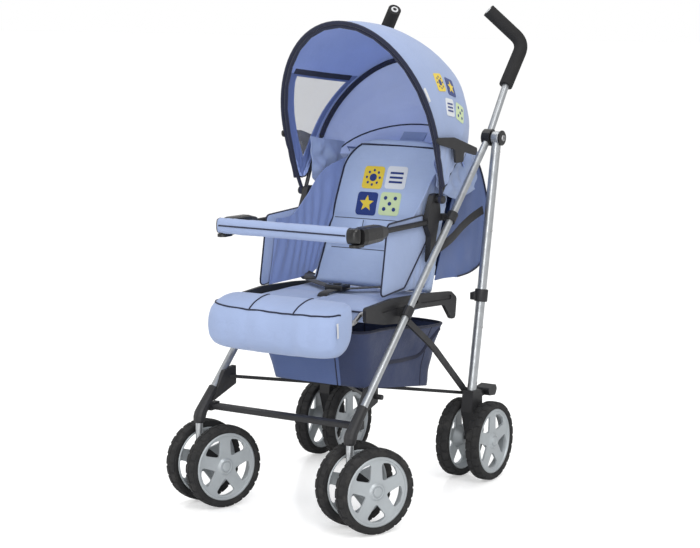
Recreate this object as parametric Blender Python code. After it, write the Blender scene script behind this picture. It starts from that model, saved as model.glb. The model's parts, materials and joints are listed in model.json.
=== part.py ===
"""Twin-wheel folding pushchair, modelled at real size in metres.

X runs across the pushchair (+X is the child's left), Y from the front (-Y) to the back (+Y),
and Z up from the floor. Every left piece has a mirrored right one.
"""
import math

import bmesh
import bpy
from mathutils import Matrix, Vector

# Clearances
SEAT_GAP = 0.0003          # between pieces that seat on each other
RUN_GAP = 0.0005           # between pieces that turn on each other
BORE_GAP = 0.0003          # between a pin and its hole, on the radius
WHEEL_RADIUS = 0.089       # every height of the running gear is measured from the axles

# Main tubes: front leg and handle in one piece
MAIN_RADIUS = 0.008
MAIN_BOTTOM_X = 0.190      # half the distance between the caster axes
CASTER_Y = -0.264
MAIN_BOTTOM_Z = WHEEL_RADIUS + 0.038
FRONT_BEND_Z = 0.198       # corner between the upright foot and the sloping leg
FRONT_BEND_RADIUS = 0.030
HINGE_X = 0.184            # half the distance between the main tubes at the top hinge
HINGE_Y = 0.325
HINGE_Z = 0.766
HINGE_BEND_RADIUS = 0.060
HANDLE_RISE = (0.080, 0.112)       # hinge to the foot of the grip, along Y and Z
GRIP_RISE = (0.073, 0.094)         # foot of the grip to its bend
GRIP_BEND_X = 0.190
GRIP_TURN = (-0.066, -0.049, 0.075)    # bend of the grip to its end
GRIP_BEND_RADIUS = 0.034
TUBE_WALL = 0.0015
GRIP_RADIUS = 0.0155
GRIP_END_DEPTH = 0.012     # the open tube end inside the grip
GRIP_FOOT_Z = HINGE_Z + HANDLE_RISE[1]

# Rear legs and top hinges
LEG_RADIUS = 0.0105
LEG_BOTTOM_X = 0.190
LEG_BOTTOM_Y = 0.240
LEG_BOTTOM_Z = WHEEL_RADIUS + 0.074
EYE_RADIUS = 0.0145
EYE_WIDTH = 0.018
DRUM_RADIUS = 0.019
DRUM_WALL = 0.0022
HINGE_PIN_RADIUS = 0.005
CAP_RADIUS = 0.017
CAP_WIDTH = 0.0045
DRUM_OUTER_X = HINGE_X + MAIN_RADIUS + SEAT_GAP + DRUM_WALL
LEG_TOP_X = DRUM_OUTER_X + RUN_GAP + LEG_RADIUS

# Wheels
TYRE_WIDTH = 0.031
TYRE_DEPTH = 0.0162         # from the rim's edge to the tread
RIM_RADIUS = WHEEL_RADIUS - TYRE_DEPTH
TWIN_SPACING = 0.076       # between the middle planes of a pair
WHEEL_SEGMENTS = 28
RIM_SEGMENTS = 20
SPOKES = 5
AXLE_RADIUS = 0.0055
HUB_RADIUS = 0.0125
REAR_AXLE_Y = 0.264
CASTER_TRAIL = 0.035
CASTER_TURN = {"left": 25.0, "right": 20.0}    # degrees, both pairs turned the same way

# Front forks and knuckles
FORK_WIDTH = 0.025
COLLAR_RADIUS = 0.014
STEM_RADIUS = 0.005
STEM_LENGTH = 0.028
KNUCKLE_RADIUS = 0.0135
FOOTREST_Y = -0.224
FOOTREST_Z = 0.212
FOOTREST_DEPTH = 0.026
FOOTREST_HEIGHT = 0.010
FOOTREST_END_X = MAIN_BOTTOM_X - KNUCKLE_RADIUS - 0.0008

# Rear housings and pedals
HOUSING_WIDTH = 0.027
HOUSING_TOP_Z = WHEEL_RADIUS + 0.116
PEDAL_PIVOT = (0.262, WHEEL_RADIUS + 0.099)       # Y, Z
PEDAL_TIP = (0.335, WHEEL_RADIUS + 0.107)
PEDAL_WIDTH = 0.036
PEDAL_NECK = 0.010
PEDAL_PIN_RADIUS = 0.003

# Brace bars that cross under the basket
BRACE_WIDTH = 0.014
BRACE_THICKNESS = 0.007
BRACE_FRONT_Y = -0.160
BRACE_FRONT_Z = 0.262
BRACE_REAR_Y = 0.258
BRACE_REAR_Z = WHEEL_RADIUS + 0.100
BRACE_REAR_X = 0.1675
BRACE_PIN_RADIUS = 0.005
BRACE_END_X = MAIN_BOTTOM_X - KNUCKLE_RADIUS - 0.0005

# Side struts and seat rails
STRUT_WIDTH = 0.006
STRUT_DEPTH = 0.014
STRUT_REAR = (0.240, WHEEL_RADIUS + 0.118)        # Y, Z of the pivot on the rear housing
STRUT_MIDDLE = (0.100, 0.326)
STRUT_FRONT = (-0.010, 0.398)
STRUT_PIN_RADIUS = 0.004
STRUT_OUTER_X = LEG_BOTTOM_X - HOUSING_WIDTH / 2 - 0.001
RAIL_WIDTH = 0.008
RAIL_OUTER_X = 0.1685
RAIL_CLAMP_Z = 0.420       # where the rail is clamped to the main tube
LEG_CLAMP_Z = 0.416        # the collar on the rear leg behind the rail
LEGREST_PIVOT = (-0.150, 0.432)    # Y, Z

# Arm brackets and bumper bar
ARM_OUTER_X = 0.1690
ARM_WIDTH = 0.013
ARM_CLAMP_Z = 0.603        # where the bracket is clamped to the main tube
ARM_RAIL_RADIUS = 0.006
CANOPY_PIVOT = (0.120, 0.645)      # Y, Z
CANOPY_PIN_RADIUS = 0.004
BUMPER_Z = 0.597
SOCKET_Y = (-0.193, -0.092)
SOCKET_X = 0.165
SOCKET_WIDTH = 0.036
BUMPER_DEPTH = 0.028
BUMPER_HEIGHT = 0.034
BUMPER_PIN_RADIUS = 0.0035
BUMPER_CENTRE_Z = BUMPER_Z + 0.003
BUMPER_Y = SOCKET_Y[0] - RUN_GAP - BUMPER_DEPTH / 2
RAIL_END_Y = SOCKET_Y[1] - 0.013
PANEL_THICKNESS = 0.006

# Seat, backrest and legrest
SEAT_Z = (0.400, 0.452)
HINGE_ROLL_RADIUS = 0.008  # the hem with the hinge rod at the foot of the backrest
BACKREST_THICKNESS = 0.030
BACKREST_HALF_WIDTH = (0.150, 0.135)
LEGREST_ROD_RADIUS = 0.005
LEGREST_ROD_Y = -0.185
LEGREST_HALF_WIDTH = 0.163
BUCKLE_SIZE = (0.046, 0.036, 0.014)
BUCKLE_PLACE = (0.010, -0.030)
BUTTON_RADIUS = 0.009
BUTTON_WELL = 0.007
BUTTON_TRAVEL = 0.002
BACKREST_PIVOT = (0.119, 0.430)    # Y, Z
BACKREST_TOP = (0.252, 0.752)      # Y, Z of the middle of the top edge
LEGREST_FRONT_Y = -0.288

# Canopy
FRONT_BOW_TILT = 18.5      # degrees forward of upright
MIDDLE_BOW_TILT = 32.8     # degrees behind upright
BOW_RADIUS = 0.0045
BOSS_RADIUS = 0.009
BOSS_WIDTH = 0.007
MIDDLE_FOOT_X = ARM_OUTER_X + RUN_GAP + BOSS_WIDTH / 2
FRONT_FOOT_X = MIDDLE_FOOT_X + BOSS_WIDTH + RUN_GAP
COVER_THICKNESS = 0.003
COVER_GAP = 0.0016         # between the bows and the cover drawn over them
LOCK_THICKNESS = 0.005
ARCH_TOP = ((-FRONT_BOW_TILT, 0.393), (10.0, 0.374), (MIDDLE_BOW_TILT, 0.351), (45.0, 0.322),
            (52.0, 0.286), (57.0, 0.245))
ARCH_HALF_WIDTH = ((-FRONT_BOW_TILT, 0.187), (MIDDLE_BOW_TILT, 0.178), (45.0, 0.172), (57.0, 0.160))
ARCH_EDGE = ((-FRONT_BOW_TILT, 0.142), (10.0, 0.135), (MIDDLE_BOW_TILT, 0.137), (45.0, 0.165),
             (52.0, 0.190), (57.0, 0.205))
ARCH_STEPS = 14
ARCH_SPRING = 0.140        # where the upright sides turn into the arch

# Basket
BASKET_BOTTOM_Y = (-0.100, 0.190)
BASKET_TOP_Y = (-0.143, 0.205)
BASKET_TOP_Z = (0.392, 0.362)      # front, back
BASKET_HALF_WIDTH = (0.122, 0.150)     # bottom, top
BASKET_WALL = 0.003

# Place of the finished object's origin: on the floor below the middle of its outline
ORIGIN = (0.016, 0.0764, 0.0)

SIDES = (("left", 1), ("right", -1))

# Name: colour, roughness, metallic
FINISHES = {
    "silver_tube": ((0.60, 0.62, 0.64), 0.34, 0.85),
    "steel": ((0.48, 0.48, 0.49), 0.30, 1.0),
    "black_plastic": ((0.022, 0.022, 0.024), 0.42, 0.0),
    "grip_foam": ((0.018, 0.018, 0.020), 0.85, 0.0),
    "tyre_black": ((0.020, 0.020, 0.021), 0.70, 0.0),
    "wheel_grey": ((0.42, 0.44, 0.46), 0.38, 0.35),
    "light_blue_cloth": ((0.36, 0.47, 0.78), 0.80, 0.0),
    "blue_cloth": ((0.20, 0.27, 0.60), 0.82, 0.0),
    "navy_cloth": ((0.035, 0.055, 0.16), 0.85, 0.0),
    "webbing": ((0.020, 0.020, 0.024), 0.80, 0.0),
}


# Scene, bodies and pieces

def clear_scene():
    """Remove whatever the scene holds."""
    for item in list(bpy.data.objects):
        bpy.data.objects.remove(item, do_unlink=True)


def finish(name):
    """The material of this name, made the first time it is asked for."""
    made = bpy.data.materials.get(name)
    if made is None:
        colour, roughness, metallic = FINISHES[name]
        made = bpy.data.materials.new(name)
        made.use_nodes = True
        shader = made.node_tree.nodes["Principled BSDF"]
        shader.inputs["Base Color"].default_value = (*colour, 1.0)
        shader.inputs["Roughness"].default_value = roughness
        shader.inputs["Metallic"].default_value = metallic
        made.diffuse_color = (*colour, 1.0)
    return made


def add_body(name, pivot, parent=None):
    """An empty on a moving body's joint axis; its pieces are parented to it."""
    body = bpy.data.objects.new("body_" + name, None)
    body.empty_display_size = 0.03
    bpy.context.scene.collection.objects.link(body)
    body["pivot"] = tuple(pivot)
    if parent is None:
        body.location = -Vector(ORIGIN)
    else:
        body.parent = parent
        body.location = Vector(pivot) - Vector(parent["pivot"])
    return body


def add_piece(name, shape, look, body, sharp=35.0):
    """A named object with the given mesh, carried by a body."""
    shape.transform(Matrix.Translation(-Vector(body["pivot"])))
    bmesh.ops.recalc_face_normals(shape, faces=shape.faces)
    mesh = bpy.data.meshes.new(name)
    shape.to_mesh(mesh)
    shape.free()
    mesh.materials.append(finish(look))
    mesh.shade_smooth()
    mesh.set_sharp_from_angle(angle=math.radians(sharp))
    return add_object(name, mesh, body)


def add_object(name, mesh, body):
    """An object that shows a mesh and is carried by a body."""
    piece = bpy.data.objects.new(name, mesh)
    bpy.context.scene.collection.objects.link(piece)
    piece.parent = body
    return piece


# Lines and outlines

def rounded(points, radius, closed=False, step=15.0):
    """A line of straight runs with its corners rounded to a radius, or to one radius each."""
    points = [Vector(point) for point in points]
    count = len(points)
    radii = radius if isinstance(radius, (list, tuple)) else [radius] * count
    line = []
    for index, corner in enumerate(points):
        if not closed and index in (0, count - 1):
            line.append(corner)
            continue
        back = (points[index - 1] - corner).normalized()
        ahead = (points[(index + 1) % count] - corner).normalized()
        half = back.angle(ahead) / 2
        turn = math.pi - 2 * half
        if radii[index] <= 0 or turn < math.radians(1.0):
            line.append(corner)
            continue
        start = corner + back * (radii[index] / math.tan(half))
        centre = corner + (back + ahead).normalized() * (radii[index] / math.sin(half))
        across = start - centre
        steps = max(1, round(math.degrees(turn) / step))
        for number in range(steps + 1):
            angle = turn * number / steps
            line.append(centre + across * math.cos(angle) - back * radii[index] * math.sin(angle))
    return line


def frames(path, side):
    """Direction, side and up at each point of a path, carried along it without twist."""
    result = []
    side = Vector(side)
    last = len(path) - 1
    for index, point in enumerate(path):
        ahead = path[min(index + 1, last)] - point
        back = point - path[max(index - 1, 0)]
        direction = (ahead.normalized() + back.normalized()).normalized()
        side = (side - direction * side.dot(direction)).normalized()
        result.append((direction, side, direction.cross(side)))
    return result


def circle(radius, sides, wide=1.0):
    """A round section, or an oval one where wide isn't 1."""
    turns = [2 * math.pi * (number + 0.5) / sides for number in range(sides)]
    return [(radius * wide * math.cos(turn), radius * math.sin(turn)) for turn in turns]


def box_section(width, height, corner):
    """A rectangular section with rounded corners."""
    half_width = width / 2
    half_height = height / 2
    corners = [(half_width, half_height), (-half_width, half_height),
               (-half_width, -half_height), (half_width, -half_height)]
    return [tuple(point) for point in rounded(corners, corner, closed=True, step=45.0)]


def arc(centre, radius, start, end, steps):
    """Points on an arc in a plane, between two angles in degrees."""
    points = []
    for number in range(steps + 1):
        angle = math.radians(start + (end - start) * number / steps)
        points.append((centre[0] + radius * math.cos(angle), centre[1] + radius * math.sin(angle)))
    return points


# Solids

def ring_solid(rings, closed=False):
    """A solid through rings of points; the first and last are capped, or joined if closed."""
    shape = bmesh.new()
    loops = [[shape.verts.new(point) for point in ring] for ring in rings]
    pairs = list(zip(loops, loops[1:]))
    if closed:
        pairs.append((loops[-1], loops[0]))
    else:
        shape.faces.new(list(reversed(loops[0])))
        shape.faces.new(loops[-1])
    for first, second in pairs:
        count = len(first)
        for index in range(count):
            following = (index + 1) % count
            shape.faces.new((first[index], first[following], second[following], second[index]))
    bmesh.ops.recalc_face_normals(shape, faces=shape.faces)
    return shape


def section_rings(path, sections, side):
    """The rings of one section, or of one section for each point, set square to a path."""
    if not isinstance(sections[0], list):
        sections = [sections] * len(path)
    rings = []
    for point, (_, across, up), section in zip(path, frames(path, side), sections):
        rings.append([point + across * a + up * b for a, b in section])
    return rings


def sweep(path, sections, side=(1, 0, 0)):
    """A solid of one section along a path."""
    path = [Vector(point) for point in path]
    return ring_solid(section_rings(path, sections, side))


def socketed_tube(path, radius, sides, start=None, end=None, side=(1, 0, 0)):
    """A round bar along a path with a blind bore (radius, depth) in either end."""
    path = [Vector(point) for point in path]
    rings = section_rings(path, circle(radius, sides), side)
    turns = frames(path, side)
    for bore, index, inward in ((start, 0, 1), (end, -1, -1)):
        if bore is None:
            continue
        direction, across, up = turns[index]
        mouth = [path[index] + across * a + up * b for a, b in circle(bore[0], sides)]
        floor = [point + direction * inward * bore[1] for point in mouth]
        if index == 0:
            rings = [floor, mouth] + rings
        else:
            rings = rings + [mouth, floor]
    return ring_solid(rings)


def pipe(path, outer, inner, sides, side=(1, 0, 0)):
    """A sleeve open at both ends; outer may be one radius or one for each point.

    The bore's flats, not its corners, lie at the inner radius.
    """
    path = [Vector(point) for point in path]
    radii = outer if isinstance(outer, list) else [outer] * len(path)
    outside = section_rings(path, [circle(radius, sides) for radius in radii], side)
    inside = section_rings(path, circle(inner / math.cos(math.pi / sides), sides), side)
    return ring_solid(outside + list(reversed(inside)), closed=True)


def rod(start, end, radius, sides=12):
    """A plain round bar between two points."""
    start = Vector(start)
    end = Vector(end)
    direction = (end - start).normalized()
    hint = (0, 0, 1) if abs(direction.z) < 0.9 else (1, 0, 0)
    return sweep([start, end], circle(radius, sides), side=hint)


def lathe(profile, segments, closed=False):
    """A solid turned about X from (x, radius) points; points on the axis become poles."""
    shape = bmesh.new()
    loops = []
    for along, radius in profile:
        if radius <= 0:
            loops.append([shape.verts.new((along, 0, 0))])
            continue
        loop = []
        for number in range(segments):
            turn = 2 * math.pi * number / segments
            loop.append(shape.verts.new((along, radius * math.sin(turn), radius * math.cos(turn))))
        loops.append(loop)
    pairs = list(zip(loops, loops[1:]))
    if closed:
        pairs.append((loops[-1], loops[0]))
    for first, second in pairs:
        for index in range(segments):
            following = (index + 1) % segments
            corners = [first[index % len(first)], first[following % len(first)],
                       second[following % len(second)], second[index % len(second)]]
            unique = list(dict.fromkeys(corners))
            shape.faces.new(unique)
    bmesh.ops.recalc_face_normals(shape, faces=shape.faces)
    return shape


def slab(outline, low, high, plane="x"):
    """An outline given thickness along X, Y or Z: (y, z), (x, z) or (x, y) points."""
    rings = []
    for level in (low, high):
        if plane == "x":
            rings.append([(level, a, b) for a, b in outline])
        elif plane == "y":
            rings.append([(a, level, b) for a, b in outline])
        else:
            rings.append([(a, b, level) for a, b in outline])
    return ring_solid(rings)


def block(low, high):
    """A box between two corners."""
    outline = [(low[0], low[1]), (high[0], low[1]), (high[0], high[1]), (low[0], high[1])]
    return slab(outline, low[2], high[2], plane="z")


def combine(base, tool, operation):
    """Two solids joined, or the first cut by the second; both are used up."""
    objects = []
    for shape in (base, tool):
        mesh = bpy.data.meshes.new("working")
        shape.to_mesh(mesh)
        shape.free()
        holder = bpy.data.objects.new("working", mesh)
        bpy.context.scene.collection.objects.link(holder)
        objects.append(holder)
    step = objects[0].modifiers.new("Boolean", "BOOLEAN")
    step.operation = operation
    step.solver = "EXACT"
    step.object = objects[1]
    bpy.context.view_layer.update()
    result = bmesh.new()
    result.from_object(objects[0], bpy.context.evaluated_depsgraph_get())
    for holder in objects:
        mesh = holder.data
        bpy.data.objects.remove(holder, do_unlink=True)
        bpy.data.meshes.remove(mesh)
    bmesh.ops.dissolve_limit(result, angle_limit=math.radians(0.2), verts=result.verts,
                             edges=result.edges)
    return result


def joined(base, *others):
    """All the solids as one."""
    for other in others:
        base = combine(base, other, "UNION")
    return base


def cut(base, *tools):
    """The first solid without the others."""
    for tool in tools:
        base = combine(base, tool, "DIFFERENCE")
    return base


def on_side(shape, side):
    """A shape made for the left side, or its mirror image for the right."""
    if side < 0:
        bmesh.ops.scale(shape, vec=(-1, 1, 1), verts=shape.verts)
        bmesh.ops.reverse_faces(shape, faces=shape.faces)
    return shape


def moved(shape, offset):
    """A shape shifted by an offset."""
    bmesh.ops.translate(shape, vec=offset, verts=shape.verts)
    return shape


def turned(shape, angle, axis, centre=(0, 0, 0)):
    """A shape turned by an angle in degrees about an axis through a centre."""
    bmesh.ops.rotate(shape, cent=centre, matrix=Matrix.Rotation(math.radians(angle), 3, axis),
                     verts=shape.verts)
    return shape


# Places on the frame

def main_x(z):
    """Half the distance between the main tubes at a height."""
    share = (z - FRONT_BEND_Z) / (HINGE_Z - FRONT_BEND_Z)
    return MAIN_BOTTOM_X + (HINGE_X - MAIN_BOTTOM_X) * share


def main_y(z):
    """Where the sloping main tube is at a height."""
    return CASTER_Y + (HINGE_Y - CASTER_Y) * (z - FRONT_BEND_Z) / (HINGE_Z - FRONT_BEND_Z)


def main_z(y):
    """How high the sloping main tube is at a place from front to back."""
    return FRONT_BEND_Z + (HINGE_Z - FRONT_BEND_Z) * (y - CASTER_Y) / (HINGE_Y - CASTER_Y)


def main_point(z):
    """The centre of the sloping main tube at a height."""
    return Vector((main_x(z), main_y(z), z))


def leg_point(z):
    """The centre of the rear leg at a height."""
    top = Vector((LEG_TOP_X, HINGE_Y, HINGE_Z))
    bottom = Vector((LEG_BOTTOM_X, LEG_BOTTOM_Y, LEG_BOTTOM_Z))
    return bottom.lerp(top, (z - LEG_BOTTOM_Z) / (HINGE_Z - LEG_BOTTOM_Z))


def main_path():
    """The whole main tube, from its foot over the hinge to the end of the grip."""
    foot = Vector((MAIN_BOTTOM_X, CASTER_Y, MAIN_BOTTOM_Z))
    bend = Vector((MAIN_BOTTOM_X, CASTER_Y, FRONT_BEND_Z))
    hinge = Vector((HINGE_X, HINGE_Y, HINGE_Z))
    grip_foot = hinge + Vector((0, *HANDLE_RISE))
    grip_bend = grip_foot + Vector((GRIP_BEND_X - HINGE_X, *GRIP_RISE))
    grip_end = grip_bend + Vector(GRIP_TURN)
    corners = [foot, bend, hinge, grip_foot, grip_bend, grip_end]
    radii = [0, FRONT_BEND_RADIUS, HINGE_BEND_RADIUS, 0, GRIP_BEND_RADIUS, 0]
    return rounded(corners, radii)


def part_of_main_path(start, end):
    """The main tube's path between two distances from its foot."""
    path = main_path()
    part = []
    travelled = 0.0
    for first, second in zip(path, path[1:]):
        length = (second - first).length
        for point_at in (start, end):
            if travelled < point_at < travelled + length:
                part.append((point_at, first.lerp(second, (point_at - travelled) / length)))
        travelled += length
        if start < travelled < end:
            part.append((travelled, second))
    part.sort(key=lambda entry: entry[0])
    return [point for _, point in part]


def distance_at_height(z):
    """How far along the main tube a height is, from its foot."""
    travelled = 0.0
    for first, second in zip(main_path(), main_path()[1:]):
        if first.z <= z <= second.z:
            return travelled + (second - first).length * (z - first.z) / (second.z - first.z)
        travelled += (second - first).length
    return travelled


# Frame

def main_tube():
    """Foot, sloping front leg and handle in one bent tube, open at both ends for stem and grip."""
    bore = MAIN_RADIUS - TUBE_WALL
    stem_bore = STEM_RADIUS + BORE_GAP
    return socketed_tube(main_path(), MAIN_RADIUS, 10, start=(stem_bore, STEM_LENGTH + SEAT_GAP),
                         end=(bore, GRIP_END_DEPTH))


def handle_grip():
    """A foam sleeve from the foot of the grip, round its bend, to the end of the tube."""
    length = distance_at_height(GRIP_FOOT_Z)
    total = sum((b - a).length for a, b in zip(main_path(), main_path()[1:]))
    path = part_of_main_path(length, total - 0.001)
    return pipe(path, GRIP_RADIUS, MAIN_RADIUS + SEAT_GAP, 12)


def rear_leg():
    """The rear leg tube, closed at the foot, with a flattened eye round the hinge pin."""
    foot = leg_point(LEG_BOTTOM_Z)
    top = leg_point(HINGE_Z)
    tube = sweep([foot, top], circle(LEG_RADIUS, 12))
    eye = lathe([(-EYE_WIDTH / 2, 0), (-EYE_WIDTH / 2, EYE_RADIUS), (EYE_WIDTH / 2, EYE_RADIUS),
                 (EYE_WIDTH / 2, 0)], 20)
    hole = rod((-0.03, 0, 0), (0.03, 0, 0), HINGE_PIN_RADIUS + BORE_GAP, 14)
    collar = rod(leg_point(LEG_CLAMP_Z - 0.012), leg_point(LEG_CLAMP_Z + 0.012), LEG_RADIUS + 0.004, 14)
    lug = block((RAIL_OUTER_X + 0.012, leg_point(LEG_CLAMP_Z).y - 0.022, LEG_CLAMP_Z - 0.008),
                (leg_point(LEG_CLAMP_Z).x - 0.004, leg_point(LEG_CLAMP_Z).y, LEG_CLAMP_Z + 0.008))
    return cut(joined(tube, moved(eye, top), collar, lug), moved(hole, top))


def top_hinge():
    """Drum round the main tube, with the pin and cap that hold the rear leg's eye."""
    centre = Vector((0, HINGE_Y, HINGE_Z))
    inner_x = HINGE_X - MAIN_RADIUS - SEAT_GAP - DRUM_WALL
    cap_x = LEG_TOP_X + LEG_RADIUS + RUN_GAP
    drum = lathe([(inner_x, 0), (inner_x, DRUM_RADIUS - 0.002), (inner_x + 0.002, DRUM_RADIUS),
                  (DRUM_OUTER_X, DRUM_RADIUS), (DRUM_OUTER_X, HINGE_PIN_RADIUS),
                  (cap_x, HINGE_PIN_RADIUS), (cap_x, CAP_RADIUS),
                  (cap_x + CAP_WIDTH - 0.0015, CAP_RADIUS), (cap_x + CAP_WIDTH, CAP_RADIUS - 0.002),
                  (cap_x + CAP_WIDTH, 0)], 20)
    bore = sweep(main_path(), circle(MAIN_RADIUS + SEAT_GAP, 10))
    return cut(moved(drum, centre), bore)


def front_knuckle():
    """Sleeve round the bend of the main tube, with the footrest lug and the brace lug."""
    low = distance_at_height(FRONT_BEND_Z - 0.016)
    high = distance_at_height(FRONT_BEND_Z + 0.050)
    path = part_of_main_path(low, high)
    count = len(path)
    radii = [KNUCKLE_RADIUS - 0.0025 * abs(2 * index / (count - 1) - 1) ** 2 for index in range(count)]
    body = sweep(path, [circle(radius, 14) for radius in radii])
    lug_y = FOOTREST_Y
    footrest_lug = block((FOOTREST_END_X + SEAT_GAP, lug_y - 0.015, FOOTREST_Z - 0.008),
                         (MAIN_BOTTOM_X, lug_y + 0.015, FOOTREST_Z + 0.008))
    outline = rounded([(main_y(0.246) + 0.002, BRACE_FRONT_Z - 0.010),
                       (main_y(0.270), BRACE_FRONT_Z + 0.021),
                       (BRACE_FRONT_Y + 0.013, BRACE_FRONT_Z + 0.027),
                       (BRACE_FRONT_Y + 0.013, BRACE_FRONT_Z - 0.014),
                       (main_y(0.225), BRACE_FRONT_Z - 0.040)],
                      0.003, closed=True, step=45)
    brace_lug = slab(outline, BRACE_END_X + SEAT_GAP, BRACE_END_X + SEAT_GAP + 0.009)
    bore = sweep(main_path(), circle(MAIN_RADIUS + SEAT_GAP, 10))
    knob_x = BRACE_END_X + SEAT_GAP + 0.004
    knob_y = BRACE_FRONT_Y + 0.002
    knob = rod((knob_x, knob_y, BRACE_FRONT_Z), (knob_x + 0.022, knob_y, BRACE_FRONT_Z), 0.0055, 10)
    return joined(cut(joined(body, footrest_lug, brace_lug), bore), knob)


def footrest_bar():
    """A flat bar with a channel pressed into its underside, from knuckle to knuckle."""
    depth = FOOTREST_DEPTH / 2
    height = FOOTREST_HEIGHT / 2
    outline = [(-depth, -height), (-depth, height - 0.003), (-depth + 0.003, height),
               (depth - 0.003, height), (depth, height - 0.003), (depth, -height),
               (depth - 0.003, -height), (depth - 0.004, height - 0.003),
               (-depth + 0.004, height - 0.003), (-depth + 0.003, -height)]
    outline = [(FOOTREST_Y + a, FOOTREST_Z + b) for a, b in outline]
    return slab(outline, -FOOTREST_END_X, FOOTREST_END_X)


def brace_z(y):
    """Height of the crossing bars' middle plane."""
    share = (y - BRACE_FRONT_Y) / (BRACE_REAR_Y - BRACE_FRONT_Y)
    return BRACE_FRONT_Z + (BRACE_REAR_Z - BRACE_FRONT_Z) * share


def brace_bar(level, pinned):
    """A flat bar from the right knuckle to the left rear leg, above or below the middle plane."""
    start = Vector((-BRACE_END_X, BRACE_FRONT_Y))
    end = Vector((BRACE_REAR_X, BRACE_REAR_Y))
    along = (end - start).normalized()
    skew = BRACE_WIDTH / 2 / along.y
    outline = [start + Vector((0, skew * -1)), start + Vector((0, skew)),
               end + Vector((0, skew)), end + Vector((0, -skew))]
    outline = [(point.x, point.y) for point in outline]
    bar = slab(outline, level - BRACE_THICKNESS / 2, level + BRACE_THICKNESS / 2, plane="z")
    middle = start.lerp(end, start.x / (start.x - end.x))
    reach = 2 * BRACE_THICKNESS + 0.002
    if pinned:
        pin = rod((middle.x, middle.y, level), (middle.x, middle.y, level - reach), BRACE_PIN_RADIUS)
        bar = joined(bar, pin)
    else:
        hole = rod((middle.x, middle.y, level - reach), (middle.x, middle.y, level + reach),
                   BRACE_PIN_RADIUS + BORE_GAP)
        bar = cut(bar, hole)
    for vertex in bar.verts:
        vertex.co.z += brace_z(vertex.co.y)
    return bar


# Running gear

def caster_fork(turn):
    """Swivel collar, stem and fork with the axle through it, trailing behind the swivel axis."""
    half = FORK_WIDTH / 2
    top = MAIN_BOTTOM_Z - SEAT_GAP
    axle = Vector((0, CASTER_TRAIL, WHEEL_RADIUS))
    outline = [(-COLLAR_RADIUS, top - 0.006), (-COLLAR_RADIUS, top - 0.022),
               *arc((axle.y, axle.z), 0.016, 215, 395, 7),
               (COLLAR_RADIUS + 0.004, top - 0.004)]
    body = slab(outline, -half, half)
    collar = rod((0, 0, top - 0.026), (0, 0, top), COLLAR_RADIUS, 16)
    stem = rod((0, 0, top - 0.006), (0, 0, MAIN_BOTTOM_Z + STEM_LENGTH - SEAT_GAP), STEM_RADIUS, 10)
    pin_reach = TWIN_SPACING / 2 + TYRE_WIDTH / 2 - 0.0045
    pin = rod(axle - Vector((pin_reach, 0, 0)), axle + Vector((pin_reach, 0, 0)), AXLE_RADIUS, 12)
    shape = turned(joined(body, collar, stem, pin), -turn, "Z")
    return moved(shape, (MAIN_BOTTOM_X, CASTER_Y, 0))


def rear_axle_housing():
    """Moulded foot of the rear leg, bored for the tube, with axle, pedal ears and strut pin."""
    half = HOUSING_WIDTH / 2
    foot = leg_point(LEG_BOTTOM_Z)
    top = leg_point(HOUSING_TOP_Z)
    axle = Vector((0, REAR_AXLE_Y, WHEEL_RADIUS))
    pedal_y, pedal_z = PEDAL_PIVOT
    outline = [(top.y - 0.016, HOUSING_TOP_Z), (foot.y - 0.017, LEG_BOTTOM_Z - 0.006),
               *arc((axle.y, axle.z), 0.018, 190, 350, 7),
               (pedal_y + 0.012, LEG_BOTTOM_Z - 0.004),
               *arc((pedal_y, pedal_z), 0.012, -20, 80, 4),
               (top.y + 0.015, HOUSING_TOP_Z)]
    body = slab(outline, LEG_BOTTOM_X - half, LEG_BOTTOM_X + half)
    pin_reach = TWIN_SPACING / 2 + TYRE_WIDTH / 2 - 0.0045
    middle = axle + Vector((LEG_BOTTOM_X, 0, 0))
    pin = rod(middle - Vector((pin_reach, 0, 0)), middle + Vector((pin_reach, 0, 0)), AXLE_RADIUS, 12)
    strut_inner_x = STRUT_OUTER_X - STRUT_WIDTH
    strut_pin = rod((strut_inner_x, *STRUT_REAR), (LEG_BOTTOM_X - half + 0.004, *STRUT_REAR),
                    STRUT_PIN_RADIUS, 10)
    bore = rod(foot - (top - foot).normalized() * SEAT_GAP, leg_point(HOUSING_TOP_Z + 0.02),
               LEG_RADIUS + SEAT_GAP, 12)
    slot = block((LEG_BOTTOM_X - PEDAL_NECK / 2 - RUN_GAP, pedal_y - 0.0095, pedal_z - 0.016),
                 (LEG_BOTTOM_X + PEDAL_NECK / 2 + RUN_GAP, pedal_y + 0.03, pedal_z + 0.03))
    hole = rod((LEG_BOTTOM_X - 0.03, *PEDAL_PIVOT), (LEG_BOTTOM_X + 0.03, *PEDAL_PIVOT),
               PEDAL_PIN_RADIUS + BORE_GAP, 10)
    return joined(cut(body, slot, bore, hole), pin, strut_pin)


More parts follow.
